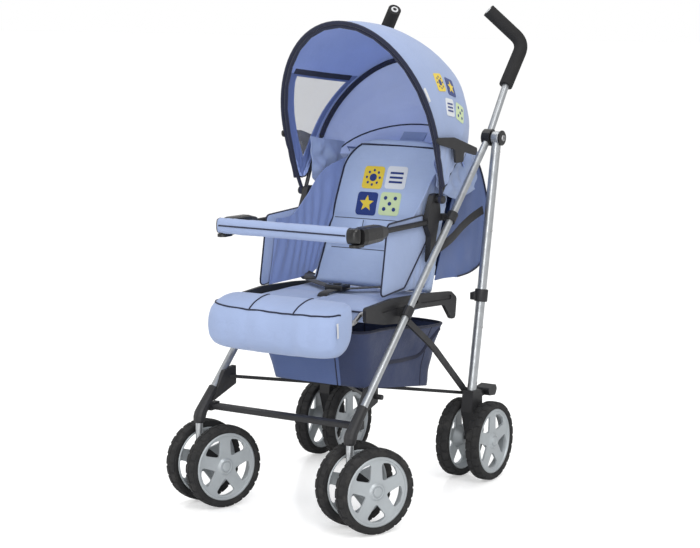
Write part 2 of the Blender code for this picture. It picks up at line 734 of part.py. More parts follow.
def brake_pedal():
    """Foot pedal behind the wheel pair: neck, pin in the housing's ears and ribbed tread."""
    pivot_y, pivot_z = PEDAL_PIVOT
    tip_y, tip_z = PEDAL_TIP
    half = PEDAL_NECK / 2
    neck = slab([*arc((pivot_y, pivot_z), 0.0075, 100, 260, 6), (tip_y - 0.030, tip_z - 0.012),
                 (tip_y - 0.020, tip_z), (pivot_y + 0.012, pivot_z + 0.0085)],
                LEG_BOTTOM_X - half, LEG_BOTTOM_X + half)
    tread_outline = rounded([(tip_y - 0.042, tip_z + 0.004), (tip_y - 0.006, tip_z + 0.009),
                             (tip_y, tip_z - 0.002), (tip_y - 0.008, tip_z - 0.016),
                             (tip_y - 0.036, tip_z - 0.013)], 0.004, closed=True, step=45)
    wide = PEDAL_WIDTH / 2
    tread = slab(tread_outline, LEG_BOTTOM_X - wide, LEG_BOTTOM_X + wide)
    reach = HOUSING_WIDTH / 2 - 0.0005
    pin = rod((LEG_BOTTOM_X - reach, *PEDAL_PIVOT), (LEG_BOTTOM_X + reach, *PEDAL_PIVOT),
              PEDAL_PIN_RADIUS, 10)
    return joined(neck, tread, pin)


def tyre():
    """A tyre about X whose shoulder blocks stand proud on every other segment."""
    half = TYRE_WIDTH / 2
    inner = RIM_RADIUS + 2 * SEAT_GAP
    shape = lathe([(-half + 0.003, inner), (-half, WHEEL_RADIUS - 0.009), (-half + 0.0055, WHEEL_RADIUS),
                   (half - 0.0055, WHEEL_RADIUS), (half, WHEEL_RADIUS - 0.009), (half - 0.003, inner)],
                  WHEEL_SEGMENTS, closed=True)
    step = 2 * math.pi / WHEEL_SEGMENTS
    for vertex in shape.verts:
        distance = math.hypot(vertex.co.y, vertex.co.z)
        number = round(math.atan2(vertex.co.y, vertex.co.z) / step)
        if distance > WHEEL_RADIUS - 0.001 and (number + (vertex.co.x > 0)) % 2:
            vertex.co.x *= 1.32
            vertex.co.y *= 1 - 0.0035 / distance
            vertex.co.z *= 1 - 0.0035 / distance
    return shape


def rim():
    """A five-spoke disc with barrel, hub, blind axle bore and round hub cap; +X is outboard."""
    half = TYRE_WIDTH / 2
    bore = AXLE_RADIUS + BORE_GAP
    back = -TWIN_SPACING / 2 + FORK_WIDTH / 2 + 0.004
    shape = lathe([(half - 0.0005, 0), (half - 0.0015, HUB_RADIUS + 0.003), (half - 0.005, HUB_RADIUS + 0.005),
                   (half - 0.009, RIM_RADIUS - 0.009), (half - 0.004, RIM_RADIUS - 0.006),
                   (half - 0.004, RIM_RADIUS), (-half + 0.004, RIM_RADIUS),
                   (half - 0.015, RIM_RADIUS - 0.007), (half - 0.012, HUB_RADIUS), (back, HUB_RADIUS),
                   (back, bore), (half - 0.0042, bore), (half - 0.0042, 0)], RIM_SEGMENTS)
    inner = HUB_RADIUS + 0.011
    outer = RIM_RADIUS - 0.013
    for number in range(SPOKES):
        window = rounded([(inner, 0.0), (outer - 0.006, 0.0165), (outer, 0.0), (outer - 0.006, -0.0165)],
                         [0.003, 0.005, 0.0, 0.005], closed=True, step=90)
        outline = [tuple(point) for point in window]
        cutter = turned(slab(outline, -0.03, 0.03), 360.0 * number / SPOKES, "X")
        shape = cut(shape, cutter)
    return shape


# Side linkage and seat frame

def strip(points, width, radius=0.0):
    """The outline of a bar of one width along a line, with round ends."""
    line = rounded(points, radius) if radius else [Vector(point) for point in points]
    half = width / 2
    left = []
    right = []
    for index, point in enumerate(line):
        ahead = line[min(index + 1, len(line) - 1)] - line[max(index - 1, 0)]
        across = Vector((-ahead.y, ahead.x)).normalized() * half
        left.append(point + across)
        right.append(point - across)
    start = line[0] - line[1]
    end = line[-1] - line[-2]
    start_turn = math.degrees(math.atan2(start.y, start.x))
    end_turn = math.degrees(math.atan2(end.y, end.x))
    first_end = arc(line[-1], half, end_turn + 60, end_turn - 60, 4)
    last_end = arc(line[0], half, start_turn + 60, start_turn - 60, 4)
    return [tuple(p) for p in left] + first_end + [tuple(p) for p in reversed(right)] + last_end


def side_strut():
    """A bowed flat strut from the rear housing up to the seat rail; its front pivot is left open."""
    outline = strip([STRUT_REAR, STRUT_MIDDLE, STRUT_FRONT], STRUT_DEPTH, radius=0.25)
    inner = STRUT_OUTER_X - STRUT_WIDTH
    bar = slab(outline, inner, STRUT_OUTER_X)
    hole = rod((inner - 0.01, *STRUT_REAR), (STRUT_OUTER_X + 0.01, *STRUT_REAR),
               STRUT_PIN_RADIUS + BORE_GAP, 10)
    eye = rod((inner - 0.01, *STRUT_FRONT), (STRUT_OUTER_X + 0.01, *STRUT_FRONT), STRUT_PIN_RADIUS, 10)
    return cut(bar, hole, eye)


def tube_clamp(z, inner_x, length, web):
    """A collar round the main tube at a height, with a web that reaches inwards."""
    middle = main_point(z)
    along = (main_point(z + 0.01) - main_point(z)).normalized()
    collar = rod(middle - along * length / 2, middle + along * length / 2, MAIN_RADIUS + 0.0042, 14)
    bridge = block((inner_x, middle.y - web / 2, z - web / 2), (middle.x, middle.y + web / 2, z + web / 2))
    return joined(collar, bridge)


def main_bore():
    """What the main tube takes out of a collar that seats on it."""
    return sweep(main_path(), circle(MAIN_RADIUS + SEAT_GAP, 10))


def seat_rail():
    """Moulded side rail of the seat, clamped to the main tube, with its drop tip behind."""
    inner = RAIL_OUTER_X - RAIL_WIDTH
    hinge_y, hinge_z = LEGREST_PIVOT
    outline = rounded([(hinge_y - 0.018, hinge_z + 0.014), (hinge_y + 0.085, hinge_z + 0.020),
                       (0.063, 0.446), (0.190, 0.434), (0.214, 0.418), (0.208, 0.372), (0.190, 0.372),
                       (0.158, 0.408), (0.010, 0.418), (-0.024, 0.394), (hinge_y + 0.050, hinge_z - 0.030),
                       (hinge_y - 0.018, hinge_z - 0.016)], 0.006, closed=True, step=45)
    plate = slab([tuple(point) for point in outline], inner, RAIL_OUTER_X)
    collar = tube_clamp(RAIL_CLAMP_Z, inner + 0.002, 0.024, 0.016)
    ribs = []
    for start, end in (((-0.10, 0.432), (0.04, 0.432)), ((0.06, 0.430), (0.185, 0.422))):
        ribs.append(slab(strip([start, end], 0.010), RAIL_OUTER_X - 0.003, RAIL_OUTER_X + 0.01))
    return cut(joined(cut(plate, *ribs), collar), main_bore())


def arm_bracket():
    """Upright with the canopy pin, its collar on the main tube and the rail for the bumper bar."""
    inner = ARM_OUTER_X - ARM_WIDTH
    pivot_y, pivot_z = CANOPY_PIVOT
    outline = rounded([(pivot_y - 0.012, pivot_z + 0.012), (pivot_y + 0.013, pivot_z + 0.012),
                       (pivot_y + 0.018, pivot_z - 0.030), (pivot_y, pivot_z - 0.085),
                       (pivot_y - 0.011, pivot_z - 0.138), (pivot_y - 0.028, pivot_z - 0.135),
                       (pivot_y - 0.023, pivot_z - 0.078), (pivot_y - 0.036, BUMPER_Z - 0.010),
                       (pivot_y - 0.036, BUMPER_Z + 0.010)], 0.005, closed=True, step=45)
    plate = slab([tuple(point) for point in outline], inner, ARM_OUTER_X)
    collar = tube_clamp(ARM_CLAMP_Z, inner + 0.002, 0.022, 0.014)
    middle = main_point(ARM_CLAMP_Z)
    web = block((inner + 0.002, pivot_y, ARM_CLAMP_Z - 0.007), (ARM_OUTER_X - 0.002, middle.y, ARM_CLAMP_Z + 0.007))
    rail = rod((inner + ARM_RAIL_RADIUS, pivot_y - 0.030, BUMPER_Z),
               (inner + ARM_RAIL_RADIUS, RAIL_END_Y, BUMPER_Z), ARM_RAIL_RADIUS, 10)
    head_x = ARM_OUTER_X + 2 * BOSS_WIDTH + 3 * RUN_GAP
    pin = lathe([(inner + 0.004, 0), (inner + 0.004, CANOPY_PIN_RADIUS), (head_x, CANOPY_PIN_RADIUS),
                 (head_x, BOSS_RADIUS), (head_x + 0.003, BOSS_RADIUS - 0.001), (head_x + 0.003, 0)], 14)
    pin = moved(pin, (0, pivot_y, pivot_z))
    return cut(joined(plate, web, collar, rail, pin), main_bore())


def side_panel():
    """The quilted panel below the arm rail."""
    outer = ARM_OUTER_X - ARM_WIDTH - SEAT_GAP
    outline = rounded([(-0.060, 0.608), (0.090, 0.614), (0.108, 0.560), (0.010, 0.464), (-0.088, 0.456)],
                      0.014, closed=True, step=30)
    return slab([tuple(point) for point in outline], outer - PANEL_THICKNESS, outer)


def bumper_socket(hinged):
    """End fitting of the arm rail, with the lower ear that carries the bumper bar."""
    rear = SOCKET_WIDTH * 0.62
    path = [(SOCKET_X, SOCKET_Y[0], BUMPER_Z), (SOCKET_X, SOCKET_Y[0] + 0.012, BUMPER_Z),
            (SOCKET_X, SOCKET_Y[1] - 0.030, BUMPER_Z), (SOCKET_X, SOCKET_Y[1], BUMPER_Z)]
    sections = [box_section(SOCKET_WIDTH - 0.004, SOCKET_WIDTH - 0.002, 0.009),
                box_section(SOCKET_WIDTH, SOCKET_WIDTH + 0.002, 0.010),
                box_section(SOCKET_WIDTH - 0.002, SOCKET_WIDTH, 0.010), box_section(rear, rear, 0.007)]
    body = sweep(path, sections)
    ear_top = BUMPER_CENTRE_Z - BUMPER_HEIGHT / 2 - RUN_GAP
    outline = [(SOCKET_X - 0.011, SOCKET_Y[0] + 0.006), (SOCKET_X - 0.011, BUMPER_Y),
               *arc((SOCKET_X, BUMPER_Y), 0.011, 180, 360, 8), (SOCKET_X + 0.011, SOCKET_Y[0] + 0.006)]
    ear = slab(outline, ear_top - 0.006, ear_top, plane="z")
    bore = rod((ARM_OUTER_X - ARM_WIDTH + ARM_RAIL_RADIUS, RAIL_END_Y - SEAT_GAP, BUMPER_Z),
               (ARM_OUTER_X - ARM_WIDTH + ARM_RAIL_RADIUS, SOCKET_Y[1] + 0.02, BUMPER_Z),
               ARM_RAIL_RADIUS + SEAT_GAP, 10)
    shape = cut(joined(body, ear), bore)
    if hinged:
        pin = rod((SOCKET_X, BUMPER_Y, ear_top - 0.003), (SOCKET_X, BUMPER_Y, BUMPER_CENTRE_Z - 0.004),
                  BUMPER_PIN_RADIUS, 10)
        shape = joined(shape, pin)
    return shape


def bumper_bar():
    """The padded bar across the front, round at its ends, with the blind hole of its hinge."""
    path = []
    sections = []
    half = BUMPER_DEPTH / 2 - 0.0002
    for turn in (80, 50, 25, 0):
        path.append((-SOCKET_X - half * math.sin(math.radians(turn)), BUMPER_Y, BUMPER_CENTRE_Z))
        reach = math.cos(math.radians(turn))
        sections.append(box_section(2 * half * reach, BUMPER_HEIGHT - 0.008 * (1 - reach),
                                    min(0.011, half * reach * 0.7)))
    path += [(-x, y, z) for x, y, z in reversed(path)]
    sections += list(reversed(sections))
    bar = sweep(path, sections, side=(0, 1, 0))
    hole = rod((-SOCKET_X, BUMPER_Y, BUMPER_CENTRE_Z - 0.03),
               (-SOCKET_X, BUMPER_Y, BUMPER_CENTRE_Z - 0.004 + SEAT_GAP), BUMPER_PIN_RADIUS + BORE_GAP, 10)
    return cut(bar, hole)


# Seat

def crowned(outline, inset, low, high):
    """A cushion from a plan outline: full in the middle of its height and drawn in above and below."""
    centre = sum((Vector(point) for point in outline), Vector((0, 0))) / len(outline)
    rings = []
    for share, draw in ((0.0, inset), (0.22, 0.0), (0.70, 0.0), (0.92, inset * 0.6), (1.0, inset * 1.8)):
        ring = []
        for point in outline:
            away = Vector(point) - centre
            scale = 1 - draw / away.length
            ring.append((centre.x + away.x * scale, centre.y + away.y * scale, low + (high - low) * share))
        rings.append(ring)
    return ring_solid(rings)


def seat_pad():
    """The seat cushion, between the side rails, from the legrest hinge to the backrest hinge."""
    half = RAIL_OUTER_X - RAIL_WIDTH - RUN_GAP
    back = BACKREST_PIVOT[0] - HINGE_ROLL_RADIUS - RUN_GAP
    front = LEGREST_PIVOT[0] + LEGREST_ROD_RADIUS + 2 * RUN_GAP
    outline = rounded([(-half, front), (half, front), (half, back), (-half, back)],
                      0.022, closed=True, step=30)
    outline = [tuple(point) for point in outline]
    return crowned(outline, 0.004, *SEAT_Z)


def backrest_pad():
    """The backrest: a crowned pad that narrows upwards, on the roll that holds its hinge rod."""
    foot = Vector((BACKREST_PIVOT[0] + 0.004, BACKREST_PIVOT[1] + 0.006))
    top = Vector(BACKREST_TOP)
    along = (top - foot).normalized()
    height = (top - foot).length
    across = Vector((-along.y, along.x))
    low_half, high_half = BACKREST_HALF_WIDTH
    plan = rounded([(-low_half, 0.0), (low_half, 0.0), (high_half, height), (-high_half, height)],
                   [0.004, 0.004, 0.075, 0.075], closed=True, step=22.5)
    pad = crowned([tuple(point) for point in plan], 0.005, -BACKREST_THICKNESS / 2, BACKREST_THICKNESS / 2)
    for vertex in pad.verts:
        x, up, out = vertex.co
        place = foot + along * up + across * out
        vertex.co = (x, place.x, place.y)
    reach = RAIL_OUTER_X - RAIL_WIDTH - RUN_GAP
    roll = rod((-reach, *BACKREST_PIVOT), (reach, *BACKREST_PIVOT), HINGE_ROLL_RADIUS, 12)
    return joined(pad, roll)


def back_flap():
    """The loose cover behind the backrest, hung from its top edge."""
    top = Vector(BACKREST_TOP)
    foot = Vector(BACKREST_PIVOT)
    along = (top - foot).normalized()
    behind = Vector((along.y, -along.x))
    start = top - along * 0.020 + behind * (BACKREST_THICKNESS / 2 + 0.0023)
    line = [start, (0.345, 0.708), (0.398, 0.620), (0.398, 0.530), (0.345, 0.468), (0.240, 0.458)]
    outline = strip(line, 0.004, radius=0.035)
    return slab(outline, -0.155, 0.155)


def legrest_frame():
    """A bent steel rod: hinge ends in the seat rails, arms, and the crosspiece behind the pad."""
    reach = RAIL_OUTER_X - RAIL_WIDTH - RUN_GAP
    hinge_y, hinge_z = LEGREST_PIVOT
    arm_x = reach - 0.014
    low = hinge_z - 0.020
    corners = [(reach, hinge_y, hinge_z), (arm_x, hinge_y, hinge_z), (arm_x, LEGREST_ROD_Y, low),
               (-arm_x, LEGREST_ROD_Y, low), (-arm_x, hinge_y, hinge_z), (-reach, hinge_y, hinge_z)]
    path = rounded(corners, [0, 0.010, 0.012, 0.012, 0.010, 0], step=30)
    return sweep(path, circle(LEGREST_ROD_RADIUS, 8), side=(0, 0, 1))


def legrest_pad():
    """The deep padded legrest, bulging forwards and down, resting against the frame's crosspiece."""
    rear = LEGREST_ROD_Y - LEGREST_ROD_RADIUS - SEAT_GAP
    front = LEGREST_FRONT_Y
    profile = rounded([(rear, 0.453), (rear, 0.392), (rear - 0.034, 0.362), (front + 0.020, 0.348),
                       (front, 0.385), (front + 0.006, 0.425), (front + 0.040, 0.452)],
                      [0.006, 0.012, 0.03, 0.022, 0.03, 0.012, 0.03], closed=True, step=30)
    middle = Vector(((rear + front) / 2, 0.405))
    rings = []
    for x, scale in ((-1.0, 0.72), (-0.965, 0.90), (-0.85, 1.0), (0.0, 1.03), (0.85, 1.0),
                     (0.965, 0.90), (1.0, 0.72)):
        ring = []
        for point in profile:
            place = middle + (point - middle) * scale
            ring.append((x * LEGREST_HALF_WIDTH, min(place.x, rear), place.y))
        rings.append(ring)
    return ring_solid(rings)


def harness_buckle():
    """The buckle body that lies on the seat, with the well of its button."""
    width, depth, height = BUCKLE_SIZE
    low = SEAT_Z[1] + SEAT_GAP
    outline = rounded([(-width / 2, -depth / 2), (width / 2, -depth / 2), (width / 2, depth / 2),
                       (-width / 2, depth / 2)], 0.010, closed=True, step=30)
    body = slab([tuple(point) for point in outline], low, low + height, plane="z")
    well = rod((0, 0, low + height - BUTTON_WELL), (0, 0, low + height + 0.02),
               BUTTON_RADIUS + RUN_GAP, 16)
    return moved(cut(body, well), (BUCKLE_PLACE[0], BUCKLE_PLACE[1], 0))


def buckle_button():
    """The round release button in the buckle's well, above its spring space."""
    top = SEAT_Z[1] + SEAT_GAP + BUCKLE_SIZE[2]
    low = top - BUTTON_WELL + BUTTON_TRAVEL + SEAT_GAP
    return rod((*BUCKLE_PLACE, low), (*BUCKLE_PLACE, top + 0.0015), BUTTON_RADIUS, 16)


# Canopy

def mix(stations, angle):
    """A value between named stations of (angle, value)."""
    for (low, first), (high, second) in zip(stations, stations[1:]):
        if angle <= high:
            return first + (second - first) * (angle - low) / (high - low)
    return stations[-1][1]


def canopy_place(angle, x, reach):
    """A point of the canopy: angle behind upright and reach from the canopy pivot."""
    turn = math.radians(angle)
    return Vector((x, CANOPY_PIVOT[0] + reach * math.sin(turn), CANOPY_PIVOT[1] + reach * math.cos(turn)))


def arch(angle, offset, start, steps):
    """The right-to-left arch of the canopy at an angle, set out by an offset from the bow line."""
    half = mix(ARCH_HALF_WIDTH, angle) + offset
    top = mix(ARCH_TOP, angle) + offset
    spring = min(ARCH_SPRING, top - 0.03)
    begin = math.asin(max(0.0, (start - spring) / (top - spring)))
    points = []
    if start < spring - 0.01:
        points.append(canopy_place(angle, -half, start))
    for number in range(steps + 1):
        turn = begin + (math.pi - 2 * begin) * number / steps
        points.append(canopy_place(angle, -half * math.cos(turn), spring + (top - spring) * math.sin(turn)))
    if start < spring - 0.01:
        points.append(canopy_place(angle, half, start))
    return points


def bow(angle, foot_x):
    """A canopy bow from boss to boss, on the canopy pin at both ends."""
    line = arch(angle, 0.0, 0.05, ARCH_STEPS)
    foot = canopy_place(angle, foot_x, 0.0)
    mirrored_foot = canopy_place(angle, -foot_x, 0.0)
    path = [mirrored_foot] + line + [foot]
    tube = sweep(path, circle(BOW_RADIUS, 8), side=(0, 1, 0))
    shape = tube
    for side in (-1, 1):
        boss = rod((side * (foot_x - BOSS_WIDTH / 2), *CANOPY_PIVOT),
                   (side * (foot_x + BOSS_WIDTH / 2), *CANOPY_PIVOT), BOSS_RADIUS, 14)
        shape = joined(shape, boss)
    for side in (-1, 1):
        trim_low = foot_x + BOSS_WIDTH / 2
        trims = [rod((side * (foot_x - 0.03), *CANOPY_PIVOT), (side * (foot_x + 0.03), *CANOPY_PIVOT),
                     CANOPY_PIN_RADIUS + BORE_GAP, 10)]
        for low, high in ((foot_x - 0.02, foot_x - BOSS_WIDTH / 2), (trim_low, trim_low + 0.02)):
            trims.append(rod((side * low, *CANOPY_PIVOT), (side * high, *CANOPY_PIVOT),
                             BOSS_RADIUS + 0.003, 14))
        shape = cut(shape, *trims)
    return shape


def canopy_cover():
    """The hood: one curved sheet over the bows, open in front and below."""
    inner_offset = BOW_RADIUS + COVER_GAP
    rings = []
    angles = [-FRONT_BOW_TILT - 1.0, -8.0, 4.0, 15.0, 24.0, MIDDLE_BOW_TILT, 39.0, 45.0, 50.0, 54.0, 57.0]
    for angle in angles:
        place = max(angle, -FRONT_BOW_TILT)
        start = mix(ARCH_EDGE, place)
        outer = []
        inner = []
        for offset, points in ((inner_offset + COVER_THICKNESS, outer), (inner_offset, inner)):
            half = mix(ARCH_HALF_WIDTH, place) + offset
            top = mix(ARCH_TOP, place) + offset
            spring = min(ARCH_SPRING, top - 0.03)
            begin = math.asin(max(0.0, (start - spring) / (top - spring)))
            for number in range(ARCH_STEPS + 1):
                turn = begin + (math.pi - 2 * begin) * number / ARCH_STEPS
                points.append(canopy_place(angle, -half * math.cos(turn),
                                           spring + (top - spring) * math.sin(turn)))
        rings.append(outer + list(reversed(inner)))
    return ring_solid(rings)


def canopy_lock():
    """The toggle on the canopy's side: a long grip with a tongue that reaches in to the middle bow."""
    outer = mix(ARCH_HALF_WIDTH, -FRONT_BOW_TILT) + BOW_RADIUS + COVER_GAP + COVER_THICKNESS + RUN_GAP
    pivot_y, pivot_z = CANOPY_PIVOT
    outline = rounded([(pivot_y - 0.054, pivot_z + 0.138), (pivot_y + 0.020, pivot_z + 0.134),
                       (pivot_y + 0.123, pivot_z + 0.104), (pivot_y + 0.118, pivot_z + 0.088),
                       (pivot_y + 0.062, pivot_z + 0.100), (pivot_y + 0.060, pivot_z + 0.078),
                       (pivot_y + 0.026, pivot_z + 0.078), (pivot_y + 0.022, pivot_z + 0.108),
                       (pivot_y - 0.050, pivot_z + 0.124)], 0.005, closed=True, step=45)
    plate = slab([tuple(point) for point in outline], outer, outer + LOCK_THICKNESS)
    place = canopy_place(MIDDLE_BOW_TILT, 0, 0.112)
    half = mix(ARCH_HALF_WIDTH, MIDDLE_BOW_TILT)
    stem = rod((half + BOW_RADIUS + SEAT_GAP, place.y, place.z), (outer + 0.002, place.y, place.z), 0.0045, 10)
    return joined(plate, stem)


# Basket

def basket():
    """An open-topped fabric tray that rests on the crossing bars and rises towards the front."""
    lift = BRACE_THICKNESS + SEAT_GAP * 2.5
    rings = []
    for inset, order in ((0.0, ("low", "middle", "high")), (BASKET_WALL, ("high", "middle", "low"))):
        for level in order:
            share = {"low": 0.0, "middle": 0.5, "high": 1.0}[level]
            front = BASKET_BOTTOM_Y[0] + (BASKET_TOP_Y[0] - BASKET_BOTTOM_Y[0]) * share + inset
            back = BASKET_BOTTOM_Y[1] + (BASKET_TOP_Y[1] - BASKET_BOTTOM_Y[1]) * share - inset
            half = BASKET_HALF_WIDTH[0] + (BASKET_HALF_WIDTH[1] - BASKET_HALF_WIDTH[0]) * share - inset
            plan = rounded([(-half, front), (half, front), (half, back), (-half, back)], 0.026,
                           closed=True, step=30)
            ring = []
            for point in plan:
                along = (point.y - front) / (back - front)
                low = brace_z(point.y) + lift + inset
                high = BASKET_TOP_Z[0] + (BASKET_TOP_Z[1] - BASKET_TOP_Z[0]) * along
                ring.append((point.x, point.y, low + (high - low) * share))
            rings.append(ring)
    return ring_solid(rings)


# Assembly

def wheel_pair(name, side, carrier, centre, turn, meshes):
    """A twin pair: two bodies on one axle, each with its tyre and rim."""
    angle = math.radians(-turn)
    for place, direction in (("outer", side), ("inner", -side)):
        reach = TWIN_SPACING / 2 * direction
        pivot = Vector(centre) + Vector((math.cos(angle), math.sin(angle), 0)) * reach
        body = add_body("wheel_%s_%s" % (name, place), pivot, carrier)
        for kind, mesh in meshes[direction].items():
            piece = add_object("%s_%s_%s" % (kind, name, place), mesh, body)
            piece.rotation_euler = (0, 0, angle)


def wheel_meshes():
    """One tyre mesh and one rim mesh, with the mirrored pair for wheels that face the other way."""
    meshes = {}
    for side in (1, -1):
        meshes[side] = {}
        for kind, make, look in (("tyre", tyre, "tyre_black"), ("rim", rim, "wheel_grey")):
            shape = on_side(make(), side)
            bmesh.ops.recalc_face_normals(shape, faces=shape.faces)
            mesh = bpy.data.meshes.new(kind)
            shape.to_mesh(mesh)
            shape.free()
            mesh.materials.append(finish(look))
            mesh.shade_smooth()
            mesh.set_sharp_from_angle(angle=math.radians(35.0))
            meshes[side][kind] = mesh
    return meshes


def assemble():
    """Make every body and piece of the pushchair."""
    frame = add_body("frame", (0, 0, 0))
    meshes = wheel_meshes()
    for name, side in SIDES:
        mirrored_x = Vector((side, 1, 1))
        add_piece("main_tube_" + name, on_side(main_tube(), side), "silver_tube", frame)
        add_piece("handle_grip_" + name, on_side(handle_grip(), side), "grip_foam", frame)
        add_piece("top_hinge_" + name, on_side(top_hinge(), side), "black_plastic", frame)
        add_piece("front_knuckle_" + name, on_side(front_knuckle(), side), "black_plastic", frame)
        add_piece("seat_rail_" + name, on_side(seat_rail(), side), "black_plastic", frame)
        add_piece("arm_bracket_" + name, on_side(arm_bracket(), side), "black_plastic", frame)
        add_piece("side_panel_" + name, on_side(side_panel(), side), "light_blue_cloth", frame)
        add_piece("bumper_socket_" + name, on_side(bumper_socket(side < 0), side), "black_plastic", frame)

        leg = add_body("rear_leg_" + name, Vector((LEG_TOP_X, HINGE_Y, HINGE_Z)) * mirrored_x, frame)
        add_piece("rear_leg_" + name, on_side(rear_leg(), side), "silver_tube", leg)
        add_piece("rear_axle_housing_" + name, on_side(rear_axle_housing(), side), "black_plastic", leg)
        strut = add_body("side_strut_" + name, Vector((STRUT_OUTER_X, *STRUT_REAR)) * mirrored_x, leg)
        add_piece("side_strut_" + name, on_side(side_strut(), side), "black_plastic", strut)
        pedal = add_body("brake_pedal_" + name, Vector((LEG_BOTTOM_X, *PEDAL_PIVOT)) * mirrored_x, leg)
        add_piece("brake_pedal_" + name, on_side(brake_pedal(), side), "black_plastic", pedal)
        rear_centre = Vector((LEG_BOTTOM_X, REAR_AXLE_Y, WHEEL_RADIUS)) * mirrored_x
        wheel_pair("rear_" + name, side, leg, rear_centre, 0.0, meshes)

        turn = CASTER_TURN[name]
        swivel = Vector((MAIN_BOTTOM_X, CASTER_Y, MAIN_BOTTOM_Z)) * mirrored_x
        caster = add_body("caster_" + name, swivel, frame)
        fork = moved(caster_fork(turn), ((side - 1) * MAIN_BOTTOM_X, 0, 0))
        add_piece("caster_fork_" + name, fork, "black_plastic", caster)
        trail = Vector((math.sin(math.radians(turn)), math.cos(math.radians(turn)), 0)) * CASTER_TRAIL
        front_centre = Vector((swivel.x, swivel.y, WHEEL_RADIUS)) + trail
        wheel_pair("front_" + name, side, caster, front_centre, turn, meshes)

    add_piece("footrest_bar", footrest_bar(), "black_plastic", frame)
    offset = BRACE_THICKNESS / 2 + SEAT_GAP / 2
    add_piece("brace_bar_upper", brace_bar(offset, True), "black_plastic", frame)
    lower = on_side(brace_bar(-offset, False), -1)
    add_piece("brace_bar_lower", lower, "black_plastic", frame)
    add_piece("seat_pad", seat_pad(), "light_blue_cloth", frame)
    add_piece("harness_buckle", harness_buckle(), "black_plastic", frame)
    add_piece("basket", basket(), "blue_cloth", frame)

    button = add_body("buckle_button", (*BUCKLE_PLACE, SEAT_Z[1]), frame)
    add_piece("buckle_button", buckle_button(), "black_plastic", button)
    backrest = add_body("backrest", (0, *BACKREST_PIVOT), frame)
    add_piece("backrest_pad", backrest_pad(), "light_blue_cloth", backrest)
    add_piece("back_flap", back_flap(), "blue_cloth", backrest)
    legrest = add_body("legrest", (0, *LEGREST_PIVOT), frame)
    add_piece("legrest_frame", legrest_frame(), "steel", legrest)
    add_piece("legrest_pad", legrest_pad(), "light_blue_cloth", legrest)
    bumper = add_body("bumper_bar", (-SOCKET_X, BUMPER_Y, BUMPER_CENTRE_Z), frame)
    add_piece("bumper_bar", bumper_bar(), "light_blue_cloth", bumper)

    front = add_body("canopy_front", (0, *CANOPY_PIVOT), frame)
    add_piece("canopy_front_bow", bow(-FRONT_BOW_TILT, FRONT_FOOT_X), "black_plastic", front)
    add_piece("canopy_cover", canopy_cover(), "light_blue_cloth", front)
    middle = add_body("canopy_middle", (0, *CANOPY_PIVOT), frame)
    add_piece("canopy_middle_bow", bow(MIDDLE_BOW_TILT, MIDDLE_FOOT_X), "black_plastic", middle)
    for name, side in SIDES:
        add_piece("canopy_lock_" + name, on_side(canopy_lock(), side), "black_plastic", middle)


clear_scene()
assemble()
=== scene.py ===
"""Pushchair: the finished look of every piece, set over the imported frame."""

from __future__ import annotations

import json
import logging
import math
from contextlib import contextmanager
from dataclasses import dataclass
from enum import Enum
from typing import Any, Callable, Iterable, Iterator, Sequence

import bmesh
import bpy
from mathutils import Matrix, Vector, noise
from mathutils.bvhtree import BVHTree

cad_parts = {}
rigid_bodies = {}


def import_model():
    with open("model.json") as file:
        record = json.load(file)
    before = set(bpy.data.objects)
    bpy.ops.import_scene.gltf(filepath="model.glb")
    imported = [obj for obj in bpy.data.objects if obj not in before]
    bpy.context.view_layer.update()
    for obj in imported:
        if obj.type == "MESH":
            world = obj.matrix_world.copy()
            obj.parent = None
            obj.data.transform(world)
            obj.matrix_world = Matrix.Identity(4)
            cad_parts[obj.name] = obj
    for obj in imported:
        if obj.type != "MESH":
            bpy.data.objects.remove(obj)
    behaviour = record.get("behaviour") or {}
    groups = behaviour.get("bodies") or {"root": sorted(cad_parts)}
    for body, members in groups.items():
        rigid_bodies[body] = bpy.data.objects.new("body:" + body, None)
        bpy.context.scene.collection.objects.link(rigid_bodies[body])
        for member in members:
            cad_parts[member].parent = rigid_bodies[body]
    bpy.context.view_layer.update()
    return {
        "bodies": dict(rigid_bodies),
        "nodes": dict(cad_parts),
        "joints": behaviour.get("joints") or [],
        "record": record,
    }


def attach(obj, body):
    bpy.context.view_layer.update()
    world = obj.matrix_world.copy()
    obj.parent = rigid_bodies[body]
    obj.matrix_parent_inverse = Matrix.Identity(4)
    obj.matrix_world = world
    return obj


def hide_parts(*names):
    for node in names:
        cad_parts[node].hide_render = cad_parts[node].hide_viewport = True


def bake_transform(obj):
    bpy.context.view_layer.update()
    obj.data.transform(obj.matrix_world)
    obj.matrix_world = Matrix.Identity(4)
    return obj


LOG = logging.getLogger("pushchair")
Point = Sequence[float]
Object = bpy.types.Object
Material = bpy.types.Material
Socket = bpy.types.NodeSocket
Colour = tuple[float, float, float]
Pair = tuple[float, float]
Pairs = tuple[Pair, ...]
Line = tuple[Point, ...]

MID_X = -0.016          # plane halfway between the left and the right side
ZERO = Vector((MID_X, -0.0764, 0.0))    # the seat's zero point, in the frame
SIDES = (("left", 1.0), ("right", -1.0))
OUT = Vector((1, 0, 0))     # away from the middle, on the left side
SOFT_EDGE = 70.0        # degrees: folds of cloth and cord are shaded smooth up to this
HEM_EDGE = 60.0         # the same for cloth whose hems stay crisp
PAD_EDGE = 80.0         # the same for stuffed pads
CORD_SIDES = 8
TAG_THICK = 0.0008


class Weave(Enum):
    """How tightly a cloth is woven, as threads in a metre."""

    FINE = 900.0
    PLAIN = 700.0
    WEBBING = 420.0


